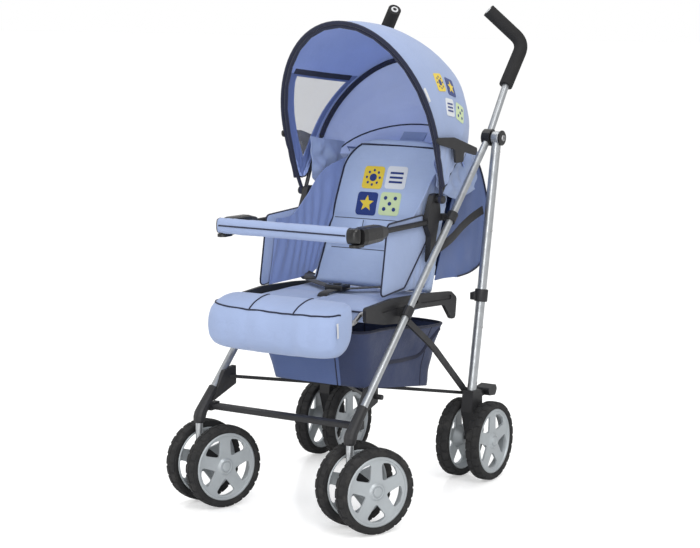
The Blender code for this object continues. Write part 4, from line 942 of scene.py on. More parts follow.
@dataclass
class Tubes:
    """The bent frame tubes, their rivets and the foam grips."""

    main_radius: float = 0.0080
    leg_radius: float = 0.0105
    grip_radius: float = 0.0155
    plug_radius: float = 0.0085
    plug_bore: float = 0.0048
    sides: int = 28
    eye_radius: float = 0.0145
    collar_radius: float = 0.0150
    collar_height: float = 0.416
    rivet_heights: tuple[float, ...] = (0.200, 0.222, 0.345, 0.560, 0.735)
    corners: Line = (
        (0.190, -0.264, 0.130), (0.190, -0.264, 0.198), (0.184, 0.325, 0.766), (0.184, 0.405, 0.878),
        (0.190, 0.478, 0.972), (0.124, 0.429, 1.047))
    radii: tuple[float, ...] = (0.0, 0.030, 0.060, 0.0, 0.034, 0.0)
    leg: tuple[Point, Point] = ((0.190, 0.240, 0.163), (0.2055, 0.325, 0.766))

    def path(self, first: int = 0, last: int = 5) -> list[Vector]:
        """The main tube's line between two of its corners, on the left."""
        points: list[Vector] = []
        for index in range(first, last + 1):
            corner = Vector(self.corners[index])
            radius = self.radii[index]
            if index in (first, last) or radius == 0.0:
                points.append(corner)
                continue
            points += rounded([self.corners[index - 1], corner, self.corners[index + 1]], radius, 10)[1:-1]
        return points

    def leg_at(self, height: float) -> Vector:
        """The centre of the left rear leg at a height."""
        foot, top = Vector(self.leg[0]), Vector(self.leg[1])
        return foot.lerp(top, (height - foot.z) / (top.z - foot.z))

    def grip(self, side: float) -> tuple[Object, Object]:
        """The foam grip round the bend, and the pale plug in the tube's end.

        Args:
            side: 1 on the left, -1 on the right.

        Returns:
            The grip's sleeve and the plug.
        """
        line = side_of(self.path(3, 5), side)
        end, back = line[-1], (line[-2] - line[-1]).normalized()
        sleeve = Bench.tube(line[:-1] + [end + back * 0.001], self.grip_radius, self.sides)
        sleeve = Bench.bevel(sleeve, 0.0040, 4, 60.0)
        plug = Bench.cylinder(end + back * 0.003, end - back * 0.0004, self.plug_radius)
        plug = Bench.bevel(plug, 0.0012, 3, 60.0)
        hollow = Bench.cylinder(end + back * 0.0012, end - back * 0.004, self.plug_bore, 24)
        return sleeve, Bench.carve(plug, hollow)

    def build(self) -> None:
        """Make the tubes, grips and rivets on both sides."""
        for name, side in SIDES:
            end = Vector(self.corners[4]).lerp(Vector(self.corners[5]), 0.9)
            tube = Bench.tube(side_of(self.path(0, 4) + [end], side), self.main_radius, self.sides)
            dress(tube, "finished_main_tube_" + name, TUBE_SILVER, "frame", "silver_tube",
                  ["main_tube_" + name])
            sleeve, plug = self.grip(side)
            dress(sleeve, "finished_grip_" + name, GRIP_FOAM, "frame", "grip_foam", ["handle_grip_" + name])
            dress(plug, "grip_plug_" + name, PALE_CAP, "frame", "black_plastic")
            self.build_leg(name, side)

    def build_leg(self, name: str, side: float) -> None:
        """Make one rear leg with its flattened eye, black collar and rivets.

        Args:
            name: the side's name.
            side: 1 on the left, -1 on the right.
        """
        foot, top = Vector(self.leg[0]), Vector(self.leg[1])
        along = (top - foot).normalized()
        leg = Bench.tube(side_of([foot, top - along * 0.004], side), self.leg_radius, self.sides)
        eye = Bench.cylinder(*side_of([top - OUT * 0.009, top + OUT * 0.009], side), self.eye_radius, 40)
        leg = Bench.carve(leg, Bench.bevel(eye, 0.0015, 3, 50.0), "UNION")
        dress(leg, "finished_rear_leg_" + name, TUBE_SILVER, "rear_leg_" + name, "silver_tube",
              ["rear_leg_" + name], 40.0)
        centre = self.leg_at(self.collar_height)
        ends = side_of([centre - along * 0.014, centre + along * 0.014], side)
        collar = Bench.bevel(Bench.cylinder(*ends, self.collar_radius, 36), 0.0022, 3, 50.0)
        back = Bench.box((0.1795, centre.y - 0.0225, self.collar_height - 0.0085),
                         (centre.x - 0.004, centre.y + 0.001, self.collar_height + 0.0085))
        back.data.transform(Matrix.Translation(ZERO) @ Matrix.Diagonal((side, 1, 1, 1)))
        if side < 0:
            back.data.flip_normals()
        collar = Bench.carve(collar, Bench.bevel(back, 0.002, 2), "UNION")
        dress(collar, "leg_collar_" + name, BLACK_PLASTIC, "rear_leg_" + name, "black_plastic")
        rivets = [self.rivet(self.leg_at(height), side) for height in self.rivet_heights]
        dress(Bench.join(rivets), "leg_rivets_" + name, STEEL, "rear_leg_" + name, "steel")

    def rivet(self, centre: Vector, side: float) -> Object:
        """A domed rivet head on the outer side of a leg.

        Args:
            centre: the leg's centre there, on the left.
            side: 1 on the left, -1 on the right.

        Returns:
            The rivet.
        """
        seat = centre + OUT * (self.leg_radius - 0.0012)
        head = Bench.cylinder(*side_of([seat, seat + OUT * 0.0024], side), 0.0034, 16, 0.0024)
        return Bench.bevel(head, 0.0008, 2, 40.0)


@dataclass
class Mouldings:
    """The rigid solids that stay: each gets its finish, and the hinges get their bolts."""

    bolt_place: Point = (0.221, 0.325, 0.766)
    bolt_radius: float = 0.0075

    def paint(self, frame: dict[str, Any]) -> None:
        """Give every kept solid its finish.

        Args:
            frame: the loaded frame, with its nodes.
        """
        finishes = {"legrest_frame": STEEL, "canopy_front_bow": PIPING, "canopy_middle_bow": GLOSS_BLACK,
                    "top_hinge": GLOSS_BLACK, "bumper_socket": GLOSS_BLACK}
        for name, obj in frame["nodes"].items():
            if obj.hide_render:
                continue
            finish = next((one for key, one in finishes.items() if name.startswith(key)), BLACK_PLASTIC)
            for slot in obj.material_slots:
                slot.material = finish.material()

    def bolt(self, side: float) -> Object:
        """A round bolt head with a hexagon socket, on the hinge's cap.

        Args:
            side: 1 on the left, -1 on the right.

        Returns:
            The bolt head.
        """
        centre = Vector(self.bolt_place)
        ends = side_of([centre - OUT * 0.0008, centre + OUT * 0.0026], side)
        head = Bench.cylinder(*ends, self.bolt_radius, 24, self.bolt_radius * 0.86)
        head = Bench.bevel(head, 0.0007, 2, 40.0)
        inner = side_of([centre + OUT * 0.0010, centre + OUT * 0.0060], side)
        return Bench.carve(head, Bench.cylinder(*inner, self.bolt_radius * 0.42, 6))

    def build(self, frame: dict[str, Any]) -> None:
        """Paint the kept solids and add the bolts.

        Args:
            frame: the loaded frame.
        """
        self.paint(frame)
        for name, side in SIDES:
            dress(self.bolt(side), "hinge_bolt_" + name, STEEL, "frame", "steel")


def puff(obj: Object, cap: float, hold: Callable[[Vector], bool], pressure: float,
         frames: int = 20) -> Object:
    """Swell a closed shape like a stuffed cushion, then smooth it.

    Args:
        obj: the closed shape, a little smaller than the cushion.
        cap: the furthest that any point may move.
        hold: which points stay, such as those along a seam.
        pressure: the pressure inside.
        frames: length of the simulation.

    Returns:
        The same piece.
    """
    Bench.modify(obj, "REMESH", mode="VOXEL", voxel_size=0.005)
    start = [vertex.co.copy() for vertex in obj.data.vertices]
    group = obj.vertex_groups.new(name="held")
    group.add([number for number, place in enumerate(start) if hold(place)], 1.0, "ADD")
    Bench.take(obj)
    cloth = obj.modifiers.new("cloth", "CLOTH")
    cloth.settings.use_pressure = True
    cloth.settings.uniform_pressure_force = pressure
    cloth.settings.effector_weights.gravity = 0.0
    cloth.settings.mass = 0.25
    cloth.settings.bending_stiffness = 0.6
    cloth.point_cache.frame_end = frames
    cloth.settings.vertex_group_mass = "held"
    cloth.settings.pin_stiffness = 1.0
    for number in range(1, frames + 1):
        bpy.context.scene.frame_set(number)
    graph = bpy.context.evaluated_depsgraph_get()
    swollen = [vertex.co.copy() for vertex in obj.evaluated_get(graph).data.vertices]
    obj.modifiers.remove(cloth)
    for vertex, before, after in zip(obj.data.vertices, start, swollen):
        move = after - before
        vertex.co = before + move * min(1.0, cap / max(move.length, 1e-9))
    bpy.context.scene.frame_set(1)
    obj.vertex_groups.clear()
    Bench.modify(obj, "SMOOTH", factor=0.5, iterations=2)
    return Bench.modify(obj, "SUBSURF", levels=1, render_levels=1)


def near_line(place: Vector, line: Sequence[Vector], reach: float) -> bool:
    """Whether a place lies within reach of any point of a line."""
    return any((place - point).length < reach for point in line)


def piping(skin: Skin, points: Sequence[Point], towards: Point, radius: float, lift: float,
           steps: int = 8) -> Object:
    """A corded edge laid on a surface.

    Args:
        skin: the surface.
        points: the line to follow, near the surface.
        towards: the way into the surface.
        radius: the cord's radius.
        lift: how far its middle stands off the surface.
        steps: points for each gap.

    Returns:
        The piping.
    """
    line = [skin.onto(point, towards, lift) for point in smooth_line(points, steps)]
    return Bench.tube(line, radius, 10)


def ribbon(line: Sequence[Point], across: Point, width: float, thick: float, name: str) -> Object:
    """A flat strap with folded edges.

    Args:
        line: its middle line.
        across: the direction of its width.
        width: its width.
        thick: its thickness.
        name: its name.

    Returns:
        The strap.
    """
    section = ((-0.5, -0.3), (-0.44, -0.5), (0.44, -0.5), (0.5, -0.3), (0.5, 0.3), (0.44, 0.5),
               (-0.44, 0.5), (-0.5, 0.3))
    rows = []
    points = [Vector(point) for point in line]
    for index, point in enumerate(points):
        way = points[min(index + 1, len(points) - 1)] - points[max(index - 1, 0)]
        wide = Vector(across)
        wide = (wide - way * (wide.dot(way) / way.length_squared)).normalized()
        up = way.cross(wide).normalized()
        rows.append([point + wide * (along * width) + up * (high * thick) for along, high in section])
    return skin_mesh(name, rows, ring=True, caps=True)


def thicken(obj: Object, thick: float) -> Object:
    """Give a cloth its thickness, half on either side."""
    return Bench.modify(obj, "SOLIDIFY", thickness=thick, offset=0.0, use_even_offset=False)


def sheet_between(name: str, rows: Sequence[Sequence[Point]], thick: float) -> Object:
    """A cloth through rows of points, with a thickness."""
    return thicken(skin_mesh(name, rows), thick)


def wrinkle(place: Vector, scale: float, depth: float, shift: float = 0.0) -> float:
    """A soft random swelling at a place.

    Args:
        place: the place.
        scale: swellings in a metre.
        depth: the greatest height.
        shift: moves the pattern, so that two pieces differ.

    Returns:
        The height there.
    """
    return noise.noise(place * scale + Vector((shift, shift, shift))) * depth


@dataclass
class Legrest:
    """The deep padded legrest with its piping and tag."""

    half: float = 0.160
    middle: Point = (0.0, -0.240, 0.410)
    rear_y: float = -0.1915
    section: Pairs = (
        (-0.1945, 0.462), (-0.225, 0.4595), (-0.252, 0.452), (-0.272, 0.441), (-0.284, 0.420),
        (-0.287, 0.395), (-0.282, 0.371), (-0.266, 0.354), (-0.240, 0.350), (-0.216, 0.360),
        (-0.200, 0.380), (-0.1935, 0.405), (-0.1925, 0.440))
    # the section's size beside the ends, as (share of the half width, share of its size)
    draws: Pairs = (
        (1.0, 0.62), (0.985, 0.76), (0.955, 0.875), (0.90, 0.95), (0.80, 0.985), (0.6, 1.0), (0.4, 1.0),
        (0.2, 1.0))
    front: Line = (
        (-0.158, -0.205, 0.425), (-0.156, -0.235, 0.436), (-0.143, -0.262, 0.444), (-0.10, -0.273, 0.4435),
        (0.0, -0.2745, 0.443), (0.10, -0.273, 0.4415), (0.143, -0.264, 0.436), (0.157, -0.240, 0.428))
    cross_xs: tuple[float, float] = (-0.052, 0.058)

    def build(self) -> None:
        """Loft, swell and pipe the legrest."""
        middle = Vector(self.middle)
        profile = [Vector((0, y, z)) for y, z in self.section]
        stations = [(-share, draw) for share, draw in self.draws] + [(0.0, 1.0), *reversed(self.draws)]
        rows = []
        for share, draw in stations:
            row = []
            for point in profile:
                place = middle + (point - middle) * draw
                sag = -0.004 * (1 - share * share) if place.z < 0.37 else 0.0
                row.append(spot(share * self.half, min(place.y, self.rear_y), place.z + sag))
            rows.append(row)
        pad = skin_mesh("legrest", rows, ring=True, caps=True)
        front = smooth_line([spot(*point) for point in self.front], 10)
        cross = [self.cross_line(x) for x in self.cross_xs]
        seams = front + cross[0] + cross[1]
        held_y = -0.2695    # the cloth behind this lies on the frame
        puff(pad, 0.006, lambda place: near_line(place, seams, 0.0045) or place.y > held_y, 3.0)
        for vertex in pad.data.vertices:
            if vertex.co.z < 0.44:
                vertex.co.y += wrinkle(Vector((vertex.co.x * 1.6, 0, vertex.co.z * 0.5)), 22.0, 0.0035)
        dress(pad, "legrest_cushion", QUILTED_BLUE, "legrest", "light_blue_cloth", ["legrest_pad"],
              HEM_EDGE)
        skin = Skin(pad)
        cords = [piping(skin, front, (0, 0.45, -0.9), 0.0019, 0.0004, 2)]
        cords += [piping(skin, line, (0, 0.1, -1), 0.0017, 0.0004, 2) for line in cross]
        dress(Bench.join(cords), "legrest_piping", PIPING, "legrest", "blue_cloth", angle=SOFT_EDGE)
        self.build_tag(skin)

    def cross_line(self, x: float) -> list[Vector]:
        """The line of a short seam across the top."""
        return smooth_line([spot(x, -0.196, 0.462), spot(x, -0.235, 0.456), spot(x, -0.2735, 0.443)], 10)

    def build_tag(self, skin: Skin) -> None:
        """Sew a bare white tag on the left edge.

        Args:
            skin: the cushion's surface.
        """
        def place(down: float, across: float) -> Vector:
            """A place on the tag, whose outer edge stands off more."""
            point = spot(0.1585, -0.2600 - 0.007 * across, 0.428 - 0.030 * down)
            return skin.onto(point, (-1, 0.35, 0), 0.0010 + 0.0035 * across)

        tag = sheet_between("tag", net(6, 3, place), TAG_THICK)
        dress(tag, "legrest_tag", WHITE_TAG, "legrest", "light_blue_cloth")


@dataclass
class Bumper:
    """The bumper bar's cover with its piping, the rounded left connector and the right end cap."""

    reach: float = 0.1650
    depth: float = 0.0275
    height: float = 0.0335
    centre_y: float = -0.2075
    centre_z: float = 0.600
    connector_x: float = 0.155
    cap_x: float = -0.1715
    piping_xs: tuple[float, ...] = (-0.166, -0.12, -0.06, 0.0, 0.06, 0.12, 0.152)

    def rows(self) -> list[list[Vector]]:
        """The cover's rounded sections, from the right end to the left end."""
        half = self.depth / 2
        ends = [self.reach - half * math.sin(math.radians(turn)) for turn in (-84, -60, -35, -12)]
        inner = self.reach - 0.01
        xs = [-x for x in ends] + [inner * (step / 8 - 1) for step in range(17)] + ends[::-1]
        rows = []
        for x in xs:
            out = max(0.0, abs(x) - self.reach) / half
            draw = math.sqrt(max(0.02, 1 - out * out))
            row = []
            for turn in range(16):
                angle = math.tau * turn / 16
                wide = math.copysign(abs(math.cos(angle)) ** 0.7, math.cos(angle)) * half * draw
                high = math.copysign(abs(math.sin(angle)) ** 0.75, math.sin(angle)) * self.height / 2
                row.append(spot(x, self.centre_y + wide, self.centre_z + high * (0.75 + 0.25 * draw)))
            rows.append(row)
        return rows

    def ruck(self, cover: Object) -> None:
        """Ruck the cloth a little, and more towards both ends.

        Args:
            cover: the smooth cover.
        """
        for vertex in cover.data.vertices:
            place = vertex.co
            to_end = self.reach + self.depth / 2 - abs(place.x - MID_X)
            depth = 0.0008 + 0.0010 * max(0.0, 1 - to_end / 0.05)
            share = wrinkle(Vector((place.x * 3.2, place.y, place.z)), 26.0, depth) * 60
            axis = Vector((place.x, *spot(0, self.centre_y, self.centre_z)[1:]))
            vertex.co += (place - axis) * share

    def end_rims(self, skin: Skin) -> Object:
        """The thin rims where the cloth meets the black ends.

        Args:
            skin: the cover's surface.

        Returns:
            Both rims as one piece.
        """
        rings = []
        for x in (self.connector_x, self.cap_x):
            middle = spot(x, self.centre_y, self.centre_z)
            ring = []
            for step in range(24):
                turn = math.tau * step / 24
                way = Vector((0, math.cos(turn), math.sin(turn)))
                ring.append(skin.onto(middle + way * 0.02, -way, -0.0004))
            rings.append(Bench.tube(ring, 0.0012, CORD_SIDES, closed=True))
        return Bench.join(rings)

    def build(self) -> None:
        """Make the padded cover with its black ends, and its piping."""
        cover = skin_mesh("bumper", self.rows(), ring=True, caps=True)
        Bench.modify(cover, "SUBSURF", levels=2, render_levels=2)
        self.ruck(cover)
        for face in cover.data.polygons:
            across = face.center.x - MID_X
            face.material_index = 1 if across > self.connector_x or across < self.cap_x else 0
        dress(cover, "bumper_cover", [LIGHT_BLUE, GLOSS_BLACK], "bumper_bar", "light_blue_cloth",
              ["bumper_bar"], HEM_EDGE)
        skin = Skin(cover)
        pipes = []
        for way in (-1, 1):
            y = self.centre_y + way * self.depth / 2
            line = [spot(x, y, self.centre_z + 0.0015) for x in self.piping_xs]
            pipes.append(piping(skin, line, (0, -way, 0), 0.0017, 0.0003))
        dress(self.end_rims(skin), "bumper_end_rims", GLOSS_BLACK, "bumper_bar", "black_plastic",
              angle=SOFT_EDGE)
        dress(Bench.join(pipes), "bumper_piping", PIPING, "bumper_bar", "blue_cloth", angle=SOFT_EDGE)


class Motif(Enum):
    """The plain pictures sewn on the patches."""

    STAR = "star"
    RINGS = "rings"
    DOTS = "dots"
    STRIPES = "stripes"


PATCH_COLOURS = {Motif.STAR: (PATCH_NAVY, PATCH_YELLOW), Motif.RINGS: (PATCH_YELLOW, PATCH_NAVY),
                 Motif.DOTS: (PATCH_GREEN, PATCH_NAVY), Motif.STRIPES: (PATCH_PALE, PATCH_NAVY)}


class Patches:
    """Square sewn patches with plain motifs, laid on a surface."""

    thick = 0.0007

    def __init__(self, skin: Skin, towards: Vector, lift: float, carry: Callable[[Object], Any]) -> None:
        """Choose the surface.

        Args:
            skin: the surface.
            towards: the way into it.
            lift: how far the patches stand off it.
            carry: puts a finished piece on its body.
        """
        self.skin = skin
        self.towards = towards.normalized()
        self.lift = lift
        self.carry = carry

    def lay(self, centre: Vector, up: Vector, outline: Sequence[Pair], lift: float) -> Object:
        """A thin filled shape laid on the surface.

        Args:
            centre: its middle.
            up: its upward direction.
            outline: its corners as (across, up) pairs.
            lift: how far it stands off.

        Returns:
            The piece, as a sheet with a thickness.
        """
        rings = []
        for share in (1.0, 0.8, 0.6, 0.4, 0.2, 0.02):
            places = [self.shift(centre, up, wide * share, high * share) for wide, high in outline]
            rings.append([self.skin.onto(place, self.towards, lift) for place in places])
        obj = skin_mesh("shape", rings, ring=True)
        Bench.take(obj)
        bpy.ops.object.mode_set(mode="EDIT")
        bpy.ops.mesh.select_all(action="SELECT")
        bpy.ops.mesh.fill_holes(sides=0)
        bpy.ops.object.mode_set(mode="OBJECT")
        least = 4e-5    # the face over the outer edge is larger than this, the one in the middle is not
        with opened(obj) as shape:
            outer = [face for face in shape.faces
                     if face.calc_area() > least and len(face.verts) == len(outline)]
            bmesh.ops.delete(shape, geom=outer, context="FACES_ONLY")
            bmesh.ops.recalc_face_normals(shape, faces=shape.faces)
        return thicken(obj, self.thick)

    def patch(self, name: str, motif: Motif, centre: Vector, up: Vector, size: float) -> None:
        """Sew one patch with its motif and its edge thread.

        Args:
            name: the patch's name.
            motif: what it shows.
            centre: its middle.
            up: its upward direction.
            size: its side.
        """
        ground, thread = PATCH_COLOURS[motif]
        half = size / 2
        corners = [(-half, -half, 0), (half, -half, 0), (half, half, 0), (-half, half, 0)]
        outline = [(point.x, point.y) for point in rounded(corners, size * 0.16, 5, closed=True)]
        base = self.lay(centre, up, outline, self.lift)
        dress(base, name, ground, "", "light_blue_cloth", angle=HEM_EDGE)
        self.carry(base)
        shapes = [self.lay(self.shift(centre, up, *place), up, points, self.lift + self.thick)
                  for place, points in self.motif_shapes(motif, size)]
        picture = Bench.join(shapes)
        dress(picture, name + "_" + motif.value, thread, "", "light_blue_cloth", angle=HEM_EDGE)
        self.carry(picture)

    def shift(self, centre: Vector, up: Vector, wide: float, high: float) -> Vector:
        """A place beside a patch's middle."""
        flat_up = (up - self.towards * up.dot(self.towards)).normalized()
        return centre + flat_up.cross(self.towards) * wide + flat_up * high

    @staticmethod
    def motif_shapes(motif: Motif, size: float) -> list[tuple[Pair, list[Pair]]]:
        """The shapes that make a motif.

        Args:
            motif: what to show.
            size: the patch's side.

        Returns:
            For each shape its place on the patch and its outline.
        """
        def disc(radius: float, count: int) -> list[Pair]:
            """Points round a circle."""
            return [(radius * math.cos(math.tau * step / count), radius * math.sin(math.tau * step / count))
                    for step in range(count)]

        if motif is Motif.STAR:
            points = []
            for step in range(10):
                radius = size * (0.36 if step % 2 == 0 else 0.16)
                turn = math.pi / 2 + math.tau * step / 10
                points.append((radius * math.cos(turn), radius * math.sin(turn)))
            return [((0.0, 0.0), points)]
        if motif is Motif.RINGS:
            return [((0.0, 0.0), disc(size * 0.17, 20))] + [
                (place, disc(size * 0.055, 10)) for place in disc(size * 0.32, 8)]
        if motif is Motif.DOTS:
            return [((size * 0.24 * across, size * 0.24 * high), disc(size * 0.085, 14))
                    for across in (-1, 0, 1) for high in (-1, 0, 1) if (across + high) % 2 == 0]
        wide = size * 0.32
        band = size * 0.045
        return [((0.0, size * 0.2 * high), [(-wide, -band), (wide, -band), (wide, band), (-wide, band)])
                for high in (-1, 0, 1)]


@dataclass
class Canopy:
    """The hood: one curved sheet over two bows, with piping, a window, patches and a tag."""

    pivot: tuple[float, float] = (0.120, 0.645)
    front: float = -18.5
    middle: float = 32.8
    back: float = 57.0
    spring: float = 0.140
    lift: float = 0.0072
    thick: float = 0.0022
    side_steps: int = 8
    arch_steps: int = 40
    sewn_lift: float = 0.0019
    pane_thick: float = 0.0009
    tape: tuple[float, ...] = (-0.0055, -0.002, 0.002, 0.0055)
    tape_steps: int = 30
    tape_lead: float = 0.012
    tape_rise: float = 0.0078
    patch_size: float = 0.038
    # pairs of an angle in degrees behind upright and a length in metres: corners by their reach from
    # the pivot, then the reach of the top, half the width and the reach of the lower edge
    window: Pairs = ((-10.5, 0.266), (29.5, 0.276), (9.0, 0.070))
    border: Pairs = ((-17.5, 0.282), (31.5, 0.296), (9.0, 0.030))
    tops: Pairs = ((-18.5, 0.393), (-6.0, 0.378), (10.0, 0.364), (32.8, 0.351), (45.0, 0.330),
                   (52.0, 0.300), (57.0, 0.258))
    halves: Pairs = ((-18.5, 0.187), (32.8, 0.178), (45.0, 0.172), (57.0, 0.160))
    edges: Pairs = ((-18.5, 0.032), (10.0, 0.030), (30.0, 0.036), (40.0, 0.085), (45.0, 0.115),
                    (52.0, 0.130), (57.0, 0.137))

    @staticmethod
    def between(stations: Sequence[Pair], angle: float) -> float:
        """A value between stations of (angle, value)."""
        for (low, first), (high, second) in zip(stations, stations[1:]):
            if angle <= high:
                return first + (second - first) * (angle - low) / (high - low)
        return stations[-1][1]

    def place(self, angle: float, x: float, reach: float) -> Vector:
        """A point at an angle behind upright and a reach from the pivot."""
        turn = math.radians(angle)
        return spot(x, self.pivot[0] + reach * math.sin(turn), self.pivot[1] + reach * math.cos(turn))

    def sag(self, angle: float, share: float) -> float:
        """How far the cloth sinks between the bows.

        Args:
            angle: the angle behind upright.
            share: 0 at the side edges and 1 over the top.

        Returns:
            The depth.
        """
        if angle < self.middle:
            part = (angle - self.front) / (self.middle - self.front)
        else:
            part = (angle - self.middle) / (self.back + 8 - self.middle)
        return 0.006 * math.sin(math.pi * min(1.0, max(0.0, part))) * (0.4 + 0.6 * share)

    def row(self, angle: float) -> list[Vector]:
        """The cloth's arch at an angle, from the right edge over the top to the left edge.

        Args:
            angle: the angle behind upright, in degrees.

        Returns:
            Its points: a straight side, the arch and the other side.
        """
        half = self.between(self.halves, angle) + self.lift
        top = self.between(self.tops, angle) + self.lift
        edge = self.between(self.edges, angle)
        low = []
        for step in range(self.side_steps):
            reach = edge + (self.spring - edge) * step / self.side_steps
            ease = min(1.0, (self.spring - reach) / 0.1)
            fold = ease * wrinkle(Vector((0.0, math.radians(angle) * 0.55, reach * 2.4)), 24.0, 0.0065)
            low.append((half - 0.004 * ease + fold, reach))
        points = [self.place(angle, -x, reach) for x, reach in low]
        for step in range(self.arch_steps + 1):
            turn = math.pi * step / self.arch_steps
            height = math.sin(turn)
            sink = self.sag(angle, height)
            points.append(self.place(angle, -(half - sink * 0.6) * math.cos(turn),
                                     self.spring + (top - self.spring - sink) * height))
        return points + [self.place(angle, x, reach) for x, reach in reversed(low)]

    def build(self) -> None:
        """Make the sheet, its window, piping, sleeve, patches and tag."""
        angles = [self.front + (self.back - self.front) * step / 60 for step in range(61)]
        rows = [self.row(angle) for angle in angles]
        flat = skin_mesh("canopy", rows)
        for corners in (self.border, self.window):
            self.score(flat, self.corners(corners))
        pane = Bench.copy(flat, Matrix.Identity(4))
        clear = self.corners(self.window)
        for obj, keep in ((flat, False), (pane, True)):
            Bench.select(obj, lambda face, keep=keep: self.within(face.calc_center_median(), clear) != keep)
            bpy.ops.mesh.delete(type="FACE")
            bpy.ops.object.mode_set(mode="OBJECT")
        edge = self.window_edge(pane)
        skin = Skin(flat)
        thicken(flat, self.thick)
        thicken(pane, self.pane_thick)
        self.paint_lining(flat)
        dress(flat, "canopy_cover_sheet", [LIGHT_BLUE, INNER_BLUE, MID_BLUE, LIT_LINING], "",
              "light_blue_cloth", angle=HEM_EDGE)
        dress(pane, "canopy_window", WINDOW, "", "light_blue_cloth", angle=HEM_EDGE)
        self.carry(flat)
        self.carry(pane)
        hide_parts("canopy_cover")
        self.build_edges(rows, edge, skin)
        self.build_patches(skin)
        self.build_drop(rows[-1])
        for name, side in SIDES:
            self.build_flap(name, side)

    def corners(self, polar: Sequence[Pair]) -> list[Vector]:
        """The corners of an outline on the right side, from angles and reaches."""
        return [self.place(angle, -0.18, reach) for angle, reach in polar]

    @staticmethod
    def sides(corners: Sequence[Vector]) -> Iterable[tuple[Vector, Vector]]:
        """The sides of a closed outline, as pairs of corners."""
        return zip(corners, [*corners[1:], corners[0]])

    @staticmethod
    def within(place: Vector, corners: Sequence[Vector]) -> bool:
        """Whether a place on the right side lies inside an outline seen from the side.

        Args:
            place: the place.
            corners: the outline's corners.

        Returns:
            Whether it lies inside; never on the left side.
        """
        if place.x > MID_X - 0.10:
            return False
        turns = []
        for here, there in Canopy.sides(corners):
            turns.append((there.y - here.y) * (place.z - here.z) - (there.z - here.z) * (place.y - here.y))
        return all(turn < 0 for turn in turns) or all(turn > 0 for turn in turns)

    @staticmethod
    def score(obj: Object, corners: Sequence[Vector]) -> None:
        """Cut edges into the right side of the sheet along an outline.

        Args:
            obj: the sheet.
            corners: the outline's corners.
        """
        with opened(obj) as shape:
            for here, there in Canopy.sides(corners):
                near = [face for face in shape.faces if face.calc_center_median().x < MID_X - 0.11]
                edges = {edge for face in near for edge in face.edges}
                verts = {vertex for face in near for vertex in face.verts}
                along = there - here
                bmesh.ops.bisect_plane(shape, geom=near + list(edges) + list(verts), plane_co=here,
                                       plane_no=Vector((0, -along.z, along.y)), dist=1e-6)

    def window_edge(self, pane: Object) -> list[Vector]:
        """The ring of points round the window's pane, in order.

        Args:
            pane: the window, still without a thickness.

        Returns:
            The points.
        """
        shape = bmesh.new()
        shape.from_mesh(pane.data)
        border = {edge for edge in shape.edges if len(edge.link_faces) == 1}
        start = here = min(border, key=lambda one: one.index).verts[0]
        ring = []
        while border:
            ring.append(here.co.copy())
            edge = next((one for one in here.link_edges if one in border), None)
            if edge is None:
                break
            border.discard(edge)
            here = edge.other_vert(here)
            if here is start:
                break
        shape.free()
        return ring

    def paint_lining(self, obj: Object) -> None:
        """Give each face of the sheet its cloth: outside, lining, window border, or behind the middle bow a
        lighter copy of the lining as painted light.

        Args:
            obj: the sheet, with its thickness.
        """
        inside = spot(0, self.pivot[0] + 0.03, self.pivot[1] + 0.10)
        edging = self.corners(self.border)
        pivot = spot(0, *self.pivot)

        def bow_line(height: float) -> float:
            """Where the middle bow lies along the pushchair, at a height."""
            return pivot.y + (height - pivot.z) * math.tan(math.radians(self.middle))

        for face in obj.data.polygons:
            face.material_index = 1 if face.normal.dot(inside - face.center) > 0 else 0
            # painted light: lining faces behind the middle bow get the lighter lit copy of the lining
            if face.material_index and face.center.y > bow_line(face.center.z):
                face.material_index = 3
            if self.within(face.center, edging):
                face.material_index = 2

    def carry(self, obj: Object) -> None:
        """Move a piece's place into its mesh; it is put on no body."""
        pivot = spot(0, *self.pivot)
        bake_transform(obj)

    def build_edges(self, rows: Sequence[Sequence[Vector]], ring: Sequence[Vector], skin: Skin) -> None:
        """Bind the front edge, the back edge and the window, and sleeve the middle bow.

        Args:
            rows: the sheet's rows.
            ring: the window's edge.
            skin: the sheet's surface.
        """
        front = [point + Vector((0, -0.001, 0)) for point in rows[0]]
        hem = [row[0] for row in rows] + list(rows[-1][1:-1]) + [row[-1] for row in reversed(rows)]
        self.carry(cord("canopy_front_binding", front, 0.0046, "", sides=12))
        self.carry(cord("canopy_hem_cord", hem[::2], 0.0020, ""))
        self.carry(cord("window_binding", ring[::2], 0.0024, "", closed=True, finish=MID_BLUE))
        self.build_bar(skin)
        line = []
        half = self.between(self.halves, self.middle)
        top = self.between(self.tops, self.middle)
        for step in range(41):
            turn = math.pi * step / 40
            line.append(self.place(self.middle, -half * math.cos(turn),
                                   self.spring + (top - self.spring) * math.sin(turn)))
        cord("middle_bow_sleeve", line, 0.0059, "canopy_middle", sides=14)

    def build_bar(self, skin: Skin) -> None:
        """Sew the dark tape along the top of the window.

        Args:
            skin: the sheet's surface.
        """
        first, last = self.corners(self.window)[:2]
        along = (last - first).normalized()
        up = Vector((0, -along.z, along.y))
        first = first - along * self.tape_lead + up * self.tape_rise
        last = last + up * self.tape_rise
        rows = []
        for step in range(self.tape_steps + 1):
            places = [first.lerp(last, step / self.tape_steps) + up * high for high in self.tape]
            rows.append([skin.onto((MID_X - 0.12, place.y, place.z), (-1, 0, 0), self.sewn_lift)
                         for place in places])
        bar = sheet_between("bar", rows, 0.0012)
        dress(bar, "window_tape", PIPING, "", "blue_cloth", angle=SOFT_EDGE)
        self.carry(bar)

    def build_drop(self, hem: Sequence[Vector]) -> None:
        """Hang the panel from the back hem to the backrest, with its folded flap.

        Args:
            hem: the points of the sheet's back hem, from the right to the left.
        """
        last = len(hem) - 1

